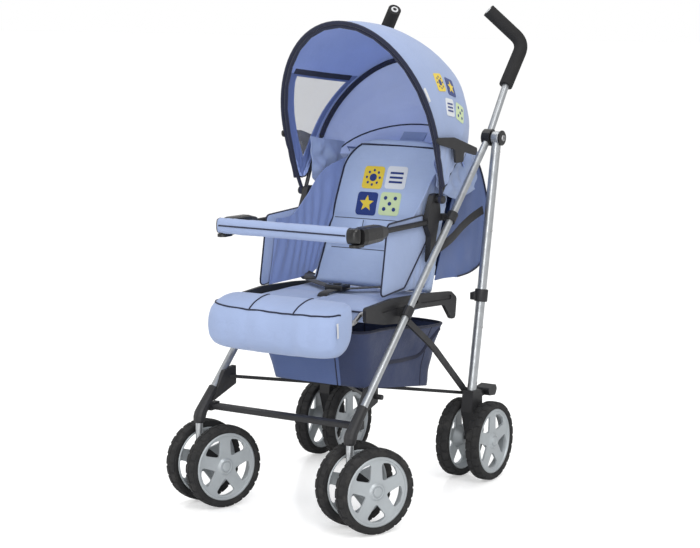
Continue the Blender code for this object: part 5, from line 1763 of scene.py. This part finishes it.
        def on_panel(down: float, across: float) -> Vector:
            """A place on the panel."""
            point, share = hem[round(across * last)], -1.0 + 2.0 * across
            foot = spot(share * 0.150, 0.276 - 0.012 * share ** 4, 0.7335 - 0.055 * share ** 4)
            place = point.lerp(foot, down) + Vector((0, 0.012 * hump(down), 0))
            return place + Vector((0, wrinkle(place, 24.0, 0.004) * hump(down), -0.001))

        panel = sheet_between("drop", net(16, last, on_panel), 0.0018)
        # painted light and shade: the panel's part beyond this x gets the darker lining colour as its
        # shaded side, the rest gets the lighter lit copy
        shade = spot(0.050, 0, 0).x
        for face in panel.data.polygons:
            face.material_index = 1 if face.center.x > shade else 0
        dress(panel, "canopy_rear_panel", [LIT_LINING, INNER_BLUE], "frame", "light_blue_cloth",
              angle=SOFT_EDGE)
        skin = Skin(panel)

        def on_flap(down: float, across: float) -> Vector:
            """A place on the flap."""
            point = spot(-0.035 + 0.060 * across, 0.24, 0.770 - 0.034 * down)
            return skin.onto(point, (0, 1, 0), 0.0022 + 0.0012 * hump(across))

        flap = sheet_between("flap", net(8, 8, on_flap), 0.0012)
        dress(flap, "rear_panel_flap", LIGHT_BLUE, "frame", "light_blue_cloth", angle=SOFT_EDGE)

    def build_flap(self, name: str, side: float) -> None:
        """The loose crumpled cloth between the lock and the arm.

        Args:
            name: the side's name.
            side: 1 on the left, -1 on the right.
        """
        top = smooth_line([(0.124, 0.768), (0.190, 0.757), (0.256, 0.748), (0.318, 0.734)], 12)
        foot = smooth_line([(0.133, 0.672), (0.168, 0.652), (0.228, 0.636), (0.308, 0.650)], 12)
        last = len(top) - 1

        def place(along: float, down: float) -> Vector:
            """A place on the flap; the cloth's edges stay flat."""
            step = round(along * last)
            y, z = top[step].lerp(foot[step], down)
            crumple = wrinkle(Vector((side, y, z)), 34.0, 0.0085) + 0.0016 * math.sin(y * 150.0 + z * 110.0)
            crumple = max(-0.0085, min(0.0055, crumple)) * hump(down) ** 0.3
            return spot(side * (0.1605 + crumple), y, z)

        flap = sheet_between("side_flap", net(last, 28, place), 0.0016)
        dress(flap, "canopy_side_flap_" + name, QUILTED_BLUE, "frame", "light_blue_cloth", angle=SOFT_EDGE)

    def build_patches(self, skin: Skin) -> None:
        """Sew four patches and a bare tag on the left side.

        Args:
            skin: the sheet's surface.
        """
        sewn = Patches(skin, Vector((-1, 0, 0)), self.sewn_lift, self.carry)
        layout = ((Motif.RINGS, 3.5, 0.252), (Motif.STAR, 15.0, 0.247), (Motif.STRIPES, 9.5, 0.200),
                  (Motif.DOTS, 23.5, 0.199))
        for number, (motif, angle, reach) in enumerate(layout):
            centre = self.place(angle, self.between(self.halves, angle), reach)
            turn = math.radians(angle)
            up = Vector((0, math.sin(turn), math.cos(turn)))
            sewn.patch("canopy_patch_%d" % number, motif, centre, up, self.patch_size)

        def on_tag(down: float, across: float) -> Vector:
            """A place on the tag."""
            place = self.place(self.front + 1.8 + 2.2 * across, 0.19, 0.252 - 0.030 * down)
            return skin.onto(place, (-1, 0, 0), 0.0022)

        tag = sheet_between("tag", net(6, 3, on_tag), TAG_THICK)
        dress(tag, "canopy_tag", WHITE_TAG, "", "light_blue_cloth")
        self.carry(tag)


def fade(distance: float, reach: float) -> float:
    """A rise from 0 beside a line to 1 well beyond a reach."""
    return 1.0 - math.exp(-(distance / reach) ** 2)


def seam_distance(place: Vector, seam: Sequence[Vector]) -> float:
    """How far a place is from a straight seam between two ends."""
    start, end = seam
    along = end - start
    share = max(0.0, min(1.0, (place - start).dot(along) / along.length_squared))
    return (place - start - along * share).length


@dataclass
class Cushion:
    """A padded form between two matching nets of points, crowned and sewn along lines."""

    name: str
    seams: list[list[Vector]]
    depth: float = 0.005
    width: float = 0.008
    crown: float = 0.004
    reach: float = 0.03

    def make(self, front: Sequence[Sequence[Vector]], back: Sequence[Sequence[Vector]]) -> Object:
        """Close the two nets into one form and work the seams into it.

        Args:
            front: rows of points on the side that is looked at.
            back: the same rows on the hidden side.

        Returns:
            The form.
        """
        rows = [list(near) + list(reversed(far)) for near, far in zip(front, back)]
        obj = skin_mesh(self.name, rows, ring=True, caps=True)
        Bench.modify(obj, "REMESH", mode="VOXEL", voxel_size=0.0034, adaptivity=0.0)
        Bench.modify(obj, "SMOOTH", factor=0.6, iterations=6)
        for vertex in obj.data.vertices:
            place = vertex.co
            distance = min(seam_distance(place, seam) for seam in self.seams)
            sink = self.depth * (1.0 - fade(distance, self.width))
            swell = self.crown * fade(distance, self.reach)
            soft = wrinkle(place, 26.0, 0.0009)
            vertex.co = place + vertex.normal * (swell - sink + soft)
        return obj


@dataclass
class Seat:
    """The seat pad, the backrest pad with its seams and patches, the side panels and the wings."""

    half: float = 0.160
    front_y: float = -0.144
    rear_y: float = 0.1105
    low: float = 0.400
    high: float = 0.452
    pad_foot: tuple[float, float] = (0.123, 0.436)
    pad_top: tuple[float, float] = (0.252, 0.752)
    pad_thick: float = 0.030
    crown: float = 0.012
    crown_reach: float = 0.035
    seam_depth: float = 0.0055
    seam_width: float = 0.008
    pad_length: float = 0.3412
    pad_corner: float = 0.075
    piping_z: float = 0.432
    hem_ends: tuple[Point, Point] = ((-0.148, 0.119, 0.430), (0.148, 0.119, 0.430))
    # seams and patches on the backrest as (across in metres, share of its height)
    pad_seams: tuple[tuple[Pair, Pair], ...] = (
        ((-0.128, 0.455), (0.128, 0.455)), ((-0.050, 0.445), (-0.046, 0.26)),
        ((0.050, 0.445), (0.046, 0.26)), ((-0.120, 0.25), (0.120, 0.25)))
    patches: tuple[tuple[Motif, float, float], ...] = (
        (Motif.RINGS, -0.043, 0.735), (Motif.STRIPES, 0.017, 0.742), (Motif.STAR, -0.047, 0.556),
        (Motif.DOTS, 0.013, 0.563))
    patch_size: float = 0.053
    panel_corners: Pairs = ((-0.060, 0.608), (0.090, 0.614), (0.108, 0.560), (0.010, 0.464),
                            (-0.088, 0.456))
    # rings round the panel as (share of its outline, depth below its outer face)
    panel_rings: Pairs = ((0.05, 0.0008), (0.5, 0.0008), (0.9, 0.0012), (1.0, 0.0028), (0.9, 0.0048),
                          (0.5, 0.0054), (0.05, 0.0054))
    wing_top: Line = ((0.133, 0.232, 0.716), (0.146, 0.150, 0.690), (0.150, 0.085, 0.635),
                      (0.1505, 0.030, 0.600), (0.1505, -0.030, 0.598))
    wing_foot: Line = ((0.151, 0.128, 0.468), (0.1505, 0.100, 0.458), (0.1503, 0.060, 0.456),
                       (0.1503, 0.010, 0.456), (0.1503, -0.060, 0.456))

    def build(self) -> None:
        """Make every piece of the seat."""
        self.build_seat_pad()
        self.build_backrest()
        for name, side in SIDES:
            self.build_panel(name, side)
            self.build_wing(name, side)

    def build_seat_pad(self) -> None:
        """The seat cushion, crowned, with two cross seams and piping."""
        box = Bench.box(spot(-self.half + 0.004, self.front_y + 0.004, self.low + 0.010),
                        spot(self.half - 0.004, self.rear_y - 0.004, self.high - 0.014))
        Bench.modify(box, "REMESH", mode="VOXEL", voxel_size=0.005, adaptivity=0.0)
        seams = [[spot(-0.13, -0.035, self.high), spot(0.13, -0.035, self.high)],
                 [spot(0.0, -0.13, self.high), spot(0.0, -0.045, self.high)]]
        cap = self.high - 0.0005
        for vertex in box.data.vertices:
            place = vertex.co
            rim = min(self.half - abs(place.x - MID_X), place.y - spot(0, self.front_y, 0).y,
                      spot(0, self.rear_y, 0).y - place.y)
            crown = self.crown * fade(rim, self.crown_reach)
            distance = min(seam_distance(Vector((place.x, place.y, cap)), seam) for seam in seams)
            sink = self.seam_depth * (1.0 - fade(distance, self.seam_width))
            if place.z > (self.low + self.high) / 2:
                vertex.co.z = min(cap, place.z + crown - sink + wrinkle(place, 24.0, 0.0009))
            else:
                vertex.co.z = max(self.low + 0.0008, place.z - 0.008 * fade(rim, 0.03))
        Bench.modify(box, "SMOOTH", factor=0.5, iterations=5)
        dress(box, "seat_cushion", LIGHT_BLUE, "frame", "light_blue_cloth", ["seat_pad"], angle=PAD_EDGE)
        corners = rounded([(-self.half, self.front_y, 0), (self.half, self.front_y, 0),
                           (self.half, self.rear_y, 0), (-self.half, self.rear_y, 0)],
                          0.022, 8, closed=True)
        middle = spot(0, (self.front_y + self.rear_y) / 2, self.piping_z)
        line = []
        skin = Skin(box)
        for corner in corners:
            start = spot(corner.x, corner.y, self.piping_z)
            line.append(skin.onto(start, middle - start, 0.0006))
        cord("seat_piping", line[::2], 0.0019, "frame", "light_blue_cloth", closed=True)

    def face(self, across: float, up: float, depth: float = 0.0) -> Vector:
        """A place on the backrest.

        Args:
            across: the place across it, in fit metres.
            up: 0 at the foot and 1 at the top.
            depth: how far behind the front.

        Returns:
            The place in the world.
        """
        foot_y, foot_z = self.pad_foot
        top_y, top_z = self.pad_top
        along = Vector((0, top_y - foot_y, top_z - foot_z))
        away = Vector((0, along.z, -along.y)).normalized()
        middle = Vector((across, foot_y, foot_z)) + along * up - away * (self.pad_thick / 2)
        return spot(*(middle + away * depth))

    def half_at(self, up: float) -> float:
        """Half the backrest's width at a share of its height, with round upper corners."""
        half = 0.150 - 0.015 * up
        over = (up - 1.0) * self.pad_length + self.pad_corner
        if over > 0:
            half -= self.pad_corner - math.sqrt(max(0.0, self.pad_corner ** 2 - over ** 2))
        return half

    def pad_side(self, depth: float, swell: float) -> list[list[Vector]]:
        """One side of the backrest's pad, crowned towards the middle.

        Args:
            depth: how far behind the pad's front its edges lie.
            swell: how much further behind its middle lies.

        Returns:
            Rows of points from the foot up.
        """
        def place(high: float, along: float) -> Vector:
            """A place from the shares of the pad's height and width."""
            up = 0.018 + 0.980 * high
            across = -1.0 + 2.0 * along
            half = self.half_at(up) - 0.002
            return self.face(half * across, up, depth + swell * (1 - across ** 4))

        return net(48, 40, place)

    def build_backrest(self) -> None:
        """The backrest pad with seams, piping and four patches."""
        seams = [[self.face(*start), self.face(*end)] for start, end in self.pad_seams]
        front = self.pad_side(0.0065, -0.004)
        pad = Cushion("backrest_cushion", seams).make(front, self.pad_side(self.pad_thick - 0.0045, 0.002))
        dress(pad, "backrest_cushion", SEAT_BLUE, "backrest", "light_blue_cloth", ["backrest_pad"],
              angle=PAD_EDGE)
        skin = Skin(pad)
        towards = (self.face(0, 0.5, 0.01) - self.face(0, 0.5)).normalized()
        self.pipe_backrest(skin, towards)
        stitches = []
        for start, end in seams:
            line = [skin.onto(start.lerp(end, step / 24), towards, 0.0001) for step in range(25)]
            stitches.append(Bench.tube(line, 0.0009, 6))
        dress(Bench.join(stitches), "backrest_seams", PIPING, "backrest", "light_blue_cloth",
              angle=SOFT_EDGE)
        roll = Bench.cylinder(*(spot(*end) for end in self.hem_ends), 0.0078, 20)
        Bench.bevel(roll, 0.002, 2)
        dress(roll, "backrest_hem", LIGHT_BLUE, "backrest", "light_blue_cloth", angle=50.0)
        sewn = Patches(skin, towards, 0.0005, lambda obj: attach(obj, "backrest"))
        upwards = (self.face(0, 0.9) - self.face(0, 0.5)).normalized()
        for number, (motif, across, up) in enumerate(self.patches):
            sewn.patch("backrest_patch_%d" % number, motif, self.face(across, up), upwards, self.patch_size)

    def pipe_backrest(self, skin: Skin, towards: Vector) -> None:
        """Run piping up one side of the backrest, over the top and down the other side.

        Args:
            skin: the pad's surface.
            towards: the way into it.
        """
        line = []
        for step in range(61):
            sign = 1.0 if step > 30 else -1.0
            up = (60 - step if step > 30 else step) / 30.0 * 0.96 + 0.03
            place = self.face(sign * (self.half_at(up) - 0.010), min(up, 0.962))
            line.append(skin.onto(place, towards, 0.0012))
        cord("backrest_piping", smooth_line(line, 2), 0.0021, "backrest", "light_blue_cloth")

    def build_panel(self, name: str, side: float) -> None:
        """The quilted cloth panel between the arm rail and the seat.

        Args:
            name: the side's name.
            side: 1 on the left, -1 on the right.
        """
        outline = rounded([(*corner, 0) for corner in self.panel_corners], 0.012, 6, closed=True)
        centre = sum(outline, Vector()) / len(outline)
        rings = []
        for share, x in self.panel_rings:
            places = [centre + (point - centre) * share for point in outline]
            rings.append([spot(side * (0.1557 - x), place.x, place.y) for place in places])
        obj = skin_mesh("panel", rings, ring=True, caps=True)
        dress(obj, "side_panel_cloth_" + name, LIGHT_BLUE, "frame", "light_blue_cloth",
              ["side_panel_" + name], angle=HEM_EDGE)
        edge = [spot(side * 0.1540, point.x, point.y) for point in outline]
        cord("side_panel_piping_" + name, edge[::2], 0.0019, "frame", "light_blue_cloth", closed=True)

    def build_wing(self, name: str, side: float) -> None:
        """The gathered cloth between the backrest's edge and the side.

        Args:
            name: the side's name.
            side: 1 on the left, -1 on the right.
        """
        top, foot = (smooth_line([(side * x, y, z) for x, y, z in line], 10)
                     for line in (self.wing_top, self.wing_foot))

        def place(share: float, drop: float) -> Vector:
            """A place on the wing, from the backrest forwards and from the top down."""
            flat = self.along(top, share).lerp(self.along(foot, share), drop)
            fold = 0.0022 * math.sin(share * 46.0 + 1.3 * math.sin(drop * 5.0)) * hump(drop) ** 0.5
            ease = 0.006 * hump(drop) * (1 - share)
            return spot(flat.x - side * (ease + fold + 0.0024), flat.y, flat.z)

        obj = sheet_between("wing", net(60, 20, place), 0.0018)
        # painted shade: the right wing, on the far side, gets a darker copy of the left wing's cloth
        finish = QUILTED_BLUE if side > 0 else SHADED_WING_BLUE
        dress(obj, "seat_wing_" + name, finish, "", "blue_cloth", angle=SOFT_EDGE)
        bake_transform(obj)

    @staticmethod
    def along(line: Sequence[Point], share: float) -> Vector:
        """The point at a share of a line's points."""
        place = share * (len(line) - 1)
        low = min(int(place), len(line) - 2)
        return Vector(line[low]).lerp(Vector(line[low + 1]), place - low)


@dataclass
class RearCover:
    """The dark cloth behind the backrest, with its sagging pocket."""

    half: float = 0.153
    columns: int = 40
    profile: Pairs = (
        (0.268, 0.734), (0.305, 0.722), (0.345, 0.706), (0.374, 0.662), (0.396, 0.612), (0.400, 0.560),
        (0.392, 0.515), (0.362, 0.478), (0.310, 0.462), (0.242, 0.459))
    hem_half: float = 0.145
    hem_z: float = 0.640
    hem_sag: float = 0.020

    @staticmethod
    def carry(obj: Object) -> None:
        """Move a piece's place into its mesh; it is put on no body."""
        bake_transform(obj)

    def build(self) -> None:
        """Make the cover, its pocket's hem, its bound edges and its sides."""
        line = smooth_line([(0, y, z) for y, z in self.profile], 8)
        last = len(line) - 1

        def on_cover(down: float, along: float) -> Vector:
            """A place on the cover, from the top down and from the right to the left."""
            across = -1.0 + 2.0 * along
            point = line[round(down * last)]
            place = spot(across * self.half, point.y, point.z)
            pull = 0.010 * across ** 4 * hump(down)
            belly = 0.006 * (1 - across * across) * hump(down) ** 2
            soft = wrinkle(place, 20.0, 0.0035) * hump(down)
            return place + Vector((0, -pull + belly * 0.4 + soft - 0.003, -belly * 0.3 * down))

        rows = net(last, self.columns, on_cover)
        obj = sheet_between("rear_cover", rows, 0.0026)
        dress(obj, "rear_cover_cloth", DEEP_BLUE, "", "blue_cloth", ["back_flap"], angle=SOFT_EDGE)
        self.carry(obj)
        skin = Skin(obj)
        hem = []
        for place in range(31):
            across = self.hem_half * (2 * place / 30 - 1)
            sag = self.hem_sag * (1 - (across / self.hem_half) ** 2)
            hem.append(skin.onto(spot(across, 0.46, self.hem_z - sag), (0, -1, 0), 0.0006))
        self.carry(cord("pocket_hem", hem, 0.0022, ""))
        for name, side in SIDES:
            edge = [row[-1 if side > 0 else 0] for row in rows]
            self.build_gusset(name, side, edge)
            self.carry(cord("rear_cover_binding_" + name, edge[1:-1][::2], 0.0021, ""))

    def build_gusset(self, name: str, side: float, edge: Sequence[Vector]) -> None:
        """Close a side of the pocket, from the cover's edge to the backrest's edge.

        Args:
            name: the side's name.
            side: 1 on the left and -1 on the right.
            edge: the cover's edge on that side.
        """
        top, foot = spot(side * 0.1505, 0.262, 0.722), spot(side * 0.1505, 0.150, 0.462)
        last = len(edge) - 1

        def place(down: float, share: float) -> Vector:
            """A place on the side, from the cover's edge inwards."""
            point = edge[round(down * last)].lerp(top.lerp(foot, down), share)
            slack = hump(share)
            soft = wrinkle(Vector((side, point.y, point.z)), 22.0, 0.0035) * slack
            return point - OUT * (side * (0.0035 * slack + 0.0022 + soft))

        obj = sheet_between("gusset", net(last, 16, place), 0.0018)
        dress(obj, "rear_cover_side_" + name, DEEP_BLUE, "", "blue_cloth", angle=SOFT_EDGE)
        self.carry(obj)


@dataclass
class Basket:
    """The sagging open basket under the seat, with bound edges and straps."""

    columns: int = 112
    wall_steps: int = 24
    middle: Point = (0, 0.045, 0)
    corner_radius: float = 0.030
    front_share: float = 0.108      # the pale front ends at this share of the way round, on both sides
    rear_share: float = 0.392       # the rear corners' piping lies here
    floor_front: Pair = (-0.160, 0.2705)
    floor_rear: Pair = (0.258, 0.207)
    strap: Pairs = ((0.176, 0.352), (0.140, 0.322), (0.112, 0.300), (0.060, 0.298), (-0.020, 0.304))

    def floor_z(self, y: float) -> float:
        """The floor's height, which falls towards the rear."""
        (start, high), (end, low) = self.floor_front, self.floor_rear
        return high + (low - high) * max(0.0, min(1.0, (y - start) / (end - start)))

    def wall(self, share: float, down: float) -> Vector:
        """A place on the basket's wall.

        Args:
            share: the way round it, from 0 to 1, starting at the middle of the front.
            down: 0 at the rim and 1 at the foot.

        Returns:
            The place in the world.
        """
        half = 0.1485 - 0.0285 * down
        front = -0.1415 + 0.0445 * down
        rear = 0.2035 - 0.0155 * down
        corners = [(0, front, 0), (half, front, 0), (half, rear, 0), (-half, rear, 0), (-half, front, 0)]
        outline = rounded(corners, self.corner_radius, 8, closed=True)
        lengths = [0.0]
        for here, there in zip(outline, outline[1:] + outline[:1]):
            lengths.append(lengths[-1] + (there - here).length)
        goal = share * lengths[-1]
        index = max(0, next(number for number, far in enumerate(lengths) if far >= goal) - 1)
        span = lengths[index + 1] - lengths[index]
        after = outline[(index + 1) % len(outline)]
        place = outline[index].lerp(after, (goal - lengths[index]) / max(span, 1e-9))
        top = 0.3915 - 0.030 * (place.y - front) / (rear - front)
        return spot(place.x, place.y, top + (self.floor_z(place.y) - top) * down)

    def build(self) -> None:
        """Make the basket's wall with its floor, the bindings and the straps."""
        rows = []
        middle = spot(*self.middle)
        for step in range(self.wall_steps + 1):
            down = step / self.wall_steps
            row = []
            for place in range(self.columns):
                share = place / self.columns
                point = self.wall(share, down)
                inward = Vector((middle.x - point.x, (middle.y - point.y) * 0.7, 0)).normalized()
                soft = wrinkle(point, 22.0, 0.004) * hump(min(1.0, down * 1.1)) ** 0.6
                dip = 0.006 * math.sin(math.tau * 2 * share) ** 2 * (1 - down) ** 2
                row.append(point + inward * (0.005 * hump(down) + soft + 0.0015) - Vector((0, 0, dip)))
            rows.append(row)
        base = rows[-1]
        for share in (0.85, 0.65, 0.45, 0.25, 0.02):
            row = []
            for point in base:
                place = Vector((*(middle + (point - middle) * share).xy, 0))
                place.z = self.floor_z(place.y - ZERO.y) + 0.0015
                place.z += abs(wrinkle(place, 18.0, 0.003)) * (1 - share)
                row.append(place)
            rows.append(row)
        obj = skin_mesh("basket", rows, ring=True)
        for number, face in enumerate(obj.data.polygons):
            share = number % self.columns / self.columns
            face.material_index = 1 if self.front_share < share < 1 - self.front_share else 0
        thicken(obj, 0.0022)
        dress(obj, "basket_cloth", [DEEP_BLUE, NAVY], "frame", "blue_cloth", ["basket"], angle=SOFT_EDGE)
        cord("basket_rim", [point + Vector((0, 0, 0.0005)) for point in rows[0]], 0.0030, "frame", sides=10,
             closed=True)
        pipes = []
        for share in (self.front_share, self.rear_share, 1 - self.rear_share, 1 - self.front_share):
            column = round(share * self.columns)
            line = [row[column] for row in rows[:self.wall_steps + 1]]
            pipes.append(Bench.tube(line, 0.0021, CORD_SIDES))
        dress(Bench.join(pipes), "basket_piping", PIPING, "frame", "blue_cloth", angle=SOFT_EDGE)
        skin = Skin(obj)
        for name, side in SIDES:
            self.build_strap(name, side, skin)

    def build_strap(self, name: str, side: float, skin: Skin) -> None:
        """Lay the diagonal strap across the side's upper corner.

        Args:
            name: the side's name.
            side: 1 on the left, -1 on the right.
            skin: the basket's surface.
        """
        path = smooth_line([(y, z, 0) for y, z in self.strap], 6)
        line = [skin.onto(spot(side * 0.17, point.x, point.y), (-side, 0, 0), 0.0014) for point in path]
        strap = ribbon(line, (0, 0.3, 0.95), 0.008, 0.0012, "basket_strap_" + name)
        dress(strap, "basket_strap_" + name, PIPING, "frame", "blue_cloth", angle=HEM_EDGE)


@dataclass
class Harness:
    """The straps with their buckle, and the webbing stays that hold the rear legs."""

    buckle: tuple[float, float, float] = (0.010, -0.030, 0.4523)
    buckle_half: Pair = (0.023, 0.018)
    buckle_high: float = 0.0135
    button_radius: float = 0.0095
    slot_x: float = 0.0185
    slot_half: Pair = (0.0016, 0.009)
    webbing: float = 0.0018
    slider_half: Pair = (0.010, 0.0145)

    def build(self) -> None:
        """Make the straps on the seat and the webbing at the sides."""
        x, y, z = self.buckle
        crotch = smooth_line([(x, y - 0.016, z + 0.0035), (x, y - 0.038, z + 0.0030),
                              (x, y - 0.054, z + 0.0008), (x, y - 0.062, z - 0.0045)], 8)
        self.strap("crotch_strap", crotch, (1, 0, 0), 0.024)
        for name, side in SIDES:
            waist = smooth_line([(x + side * 0.021, y + 0.004, z + 0.0050),
                                 (x + side * 0.055, y + 0.020, z + 0.0075),
                                 (side * 0.105, y + 0.062, z + 0.0085),
                                 (side * 0.136, y + 0.112, z + 0.0085),
                                 (side * 0.143, y + 0.128, z + 0.0120)], 8)
            self.strap("waist_strap_" + name, waist, (0.2 * side, -1, 0), 0.022)
            self.slider(name, waist)
            self.stay(name, side)
        self.cover_buckle()

    def strap(self, name: str, line: Sequence[Vector], across: Point, width: float) -> None:
        """Make one flat strap of webbing.

        Args:
            name: its name.
            line: its middle line.
            across: the direction of its width.
            width: its width.
        """
        obj = ribbon([spot(*point) for point in line], across, width, self.webbing, name)
        dress(obj, name, WEBBING, "frame", "black_plastic", angle=HEM_EDGE)

    def slider(self, name: str, line: Sequence[Vector]) -> None:
        """Make the adjuster on a waist strap: a frame with a middle bar.

        Args:
            name: the side's name.
            line: the strap's middle line.
        """
        half = len(line) // 2
        place = spot(*line[half]) + Vector((0, 0, 0.0022))
        along = (line[half + 1] - line[half - 1]).normalized() * self.slider_half[0]
        across = Vector((0, 0, 1)).cross(along).normalized() * self.slider_half[1]
        corners = [place - along - across, place + along - across, place + along + across,
                   place - along + across]
        ring = Bench.tube(rounded(corners, 0.004, 5, closed=True), 0.0022, 10, closed=True)
        bar = Bench.cylinder(place - across, place + across, 0.0019, 10)
        both = Bench.join([ring, bar])
        dress(both, "strap_slider_" + name, GLOSS_BLACK, "frame", "black_plastic", angle=50.0)

    def stay(self, name: str, side: float) -> None:
        """The webbing from the arm to the rear leg that stops it opening too far.

        Args:
            name: the side's name.
            side: 1 on the left, -1 on the right.
        """
        line = smooth_line([(side * 0.1700, 0.118, 0.534), (side * 0.1738, 0.150, 0.545),
                            (side * 0.1745, 0.185, 0.557), (side * 0.1750, 0.223, 0.575),
                            (side * 0.1790, 0.262, 0.592), (side * 0.1872, 0.297, 0.606)], 8)
        obj = ribbon([spot(*point) for point in line], (0, -0.45, 0.89), 0.020, 0.0016, "stay_" + name)
        dress(obj, "webbing_stay_" + name, WEBBING, "", "black_plastic", angle=HEM_EDGE)
        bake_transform(obj)

    def cover_buckle(self) -> None:
        """The buckle's body, with soft edges, a round well for the button and strap slots."""
        x, y, z = self.buckle
        wide, deep = self.buckle_half
        body = Bench.box(spot(x - wide, y - deep, z), spot(x + wide, y + deep, z + self.buckle_high))
        Bench.bevel(body, 0.0035, 4)
        above = z + 0.02    # clear of the buckle's top
        well = Bench.cylinder(spot(x, y, z + 0.0065), spot(x, y, above), self.button_radius, 40)
        Bench.carve(body, well)
        wide, deep = self.slot_half
        for slot_x in (x - self.slot_x, x + self.slot_x):
            slot = Bench.box(spot(slot_x - wide, y - deep, z + 0.009),
                             spot(slot_x + wide, y + deep, above))
            Bench.carve(body, slot)
        dress(body, "buckle_body", GLOSS_BLACK, "frame", "black_plastic", ["harness_buckle"], angle=35.0)


@dataclass
class Studio:
    """The pale floor, the soft lamps and the camera at the photograph's angle."""

    camera_place: Point = (2.2155, -3.5616, 1.1076)
    azimuth: float = 32.36
    elevation: float = 8.58
    lens: float = 99.14
    floor_colour: Point = (0.93, 0.93, 0.925)
    floor_glow: float = 0.42
    # name, place, side in metres and power in watts
    lamps: tuple[tuple[str, Point, float, float], ...] = (
        ("key_lamp", (2.6, -2.2, 3.4), 2.2, 84.0), ("fill_lamp", (-3.2, -2.4, 2.0), 3.0, 35.0),
        ("front_lamp", (1.4, -3.2, 0.9), 1.6, 26.0), ("top_lamp", (-0.4, 0.6, 3.6), 2.6, 40.0))

    def camera(self) -> None:
        """Set the camera where the photograph was taken from."""
        turn, rise = math.radians(self.azimuth), math.radians(self.elevation)
        back = Vector((math.sin(turn) * math.cos(rise), -math.cos(turn) * math.cos(rise), math.sin(rise)))
        data = bpy.data.cameras.new("camera")
        data.lens = self.lens
        data.sensor_width = 36.0
        camera = bpy.data.objects.new("camera", data)
        camera.location = self.camera_place
        camera.rotation_euler = back.to_track_quat("Z", "Y").to_euler()
        bpy.context.collection.objects.link(camera)
        bpy.context.scene.camera = camera

    def lamp(self, name: str, place: Point, size: float, power: float) -> None:
        """A square soft lamp that faces the object.

        Args:
            name: the lamp's name.
            place: where it hangs.
            size: its side in metres.
            power: its power in watts.
        """
        data = bpy.data.lights.new(name, "AREA")
        data.size = size
        data.energy = power
        lamp = bpy.data.objects.new(name, data)
        lamp.location = place
        lamp.rotation_euler = (Vector(place) - Vector((0, 0, 0.5))).to_track_quat("Z", "Y").to_euler()
        bpy.context.collection.objects.link(lamp)

    def floor(self) -> None:
        """A glossy pale floor that shades out to the white of the background."""
        Bench.clear()
        bpy.ops.mesh.primitive_plane_add(size=60.0, location=(0, 0, -0.0005))
        floor = bpy.context.object
        floor.name = "floor"
        sheet = Sheet("floor_gloss")
        cloud = sheet.noise(1.5, 2.0)
        duller = tuple(level * 0.995 for level in self.floor_colour)
        sheet.done(sheet.blend(cloud, self.floor_colour, duller), 0.16, None, Specular_IOR_Level=0.35)
        path = sheet.add("ShaderNodeLightPath")
        glow = sheet.add("ShaderNodeEmission", Color=(1, 1, 1, 1), Strength=self.floor_glow)
        clear = sheet.add("ShaderNodeMixShader")
        both = sheet.add("ShaderNodeAddShader")
        output = next(node for node in sheet.tree.nodes if node.type == "OUTPUT_MATERIAL")
        gloss = sheet.shader.outputs[0]
        for source, target in ((gloss, both.inputs[0]), (glow.outputs[0], both.inputs[1]),
                               (path.outputs["Is Camera Ray"], clear.inputs[0]), (gloss, clear.inputs[1]),
                               (both.outputs[0], clear.inputs[2]),
                               (clear.outputs[0], output.inputs["Surface"])):
            sheet.tree.links.new(source, target)
        floor.data.materials.append(sheet.material)

    def sky(self) -> None:
        """A white background for the camera and for reflections, and a soft grey one for the light."""
        world = bpy.data.worlds.new("studio")
        bpy.context.scene.world = world
        world.use_nodes = True
        tree = world.node_tree
        back = tree.nodes["Background"]
        back.inputs["Color"].default_value = (1, 1, 1, 1)
        path = tree.nodes.new("ShaderNodeLightPath")
        seen = tree.nodes.new("ShaderNodeMath")
        seen.operation = "MAXIMUM"
        tree.links.new(path.outputs["Is Camera Ray"], seen.inputs[0])
        tree.links.new(path.outputs["Is Transmission Ray"], seen.inputs[1])
        level = tree.nodes.new("ShaderNodeMapRange")
        level.inputs["To Min"].default_value = 0.62
        level.inputs["To Max"].default_value = 1.0
        tree.links.new(seen.outputs[0], level.inputs["Value"])
        tree.links.new(level.outputs["Result"], back.inputs["Strength"])

    def build(self) -> None:
        """Set up the camera, the light and the floor."""
        bpy.context.scene.view_settings.view_transform = "Standard"
        self.camera()
        self.sky()
        self.floor()
        for lamp in self.lamps:
            self.lamp(*lamp)


def main() -> None:
    """Build every sub-assembly in order."""
    logging.basicConfig(level=logging.INFO, format="%(name)s %(message)s")
    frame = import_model()
    Studio().build()
    Wheels().build(frame)
    Tubes().build()
    Legrest().build()
    Bumper().build()
    Canopy().build()
    Seat().build()
    RearCover().build()
    Basket().build()
    Harness().build()
    Mouldings().build(frame)


if __name__ == "__main__":
    main()
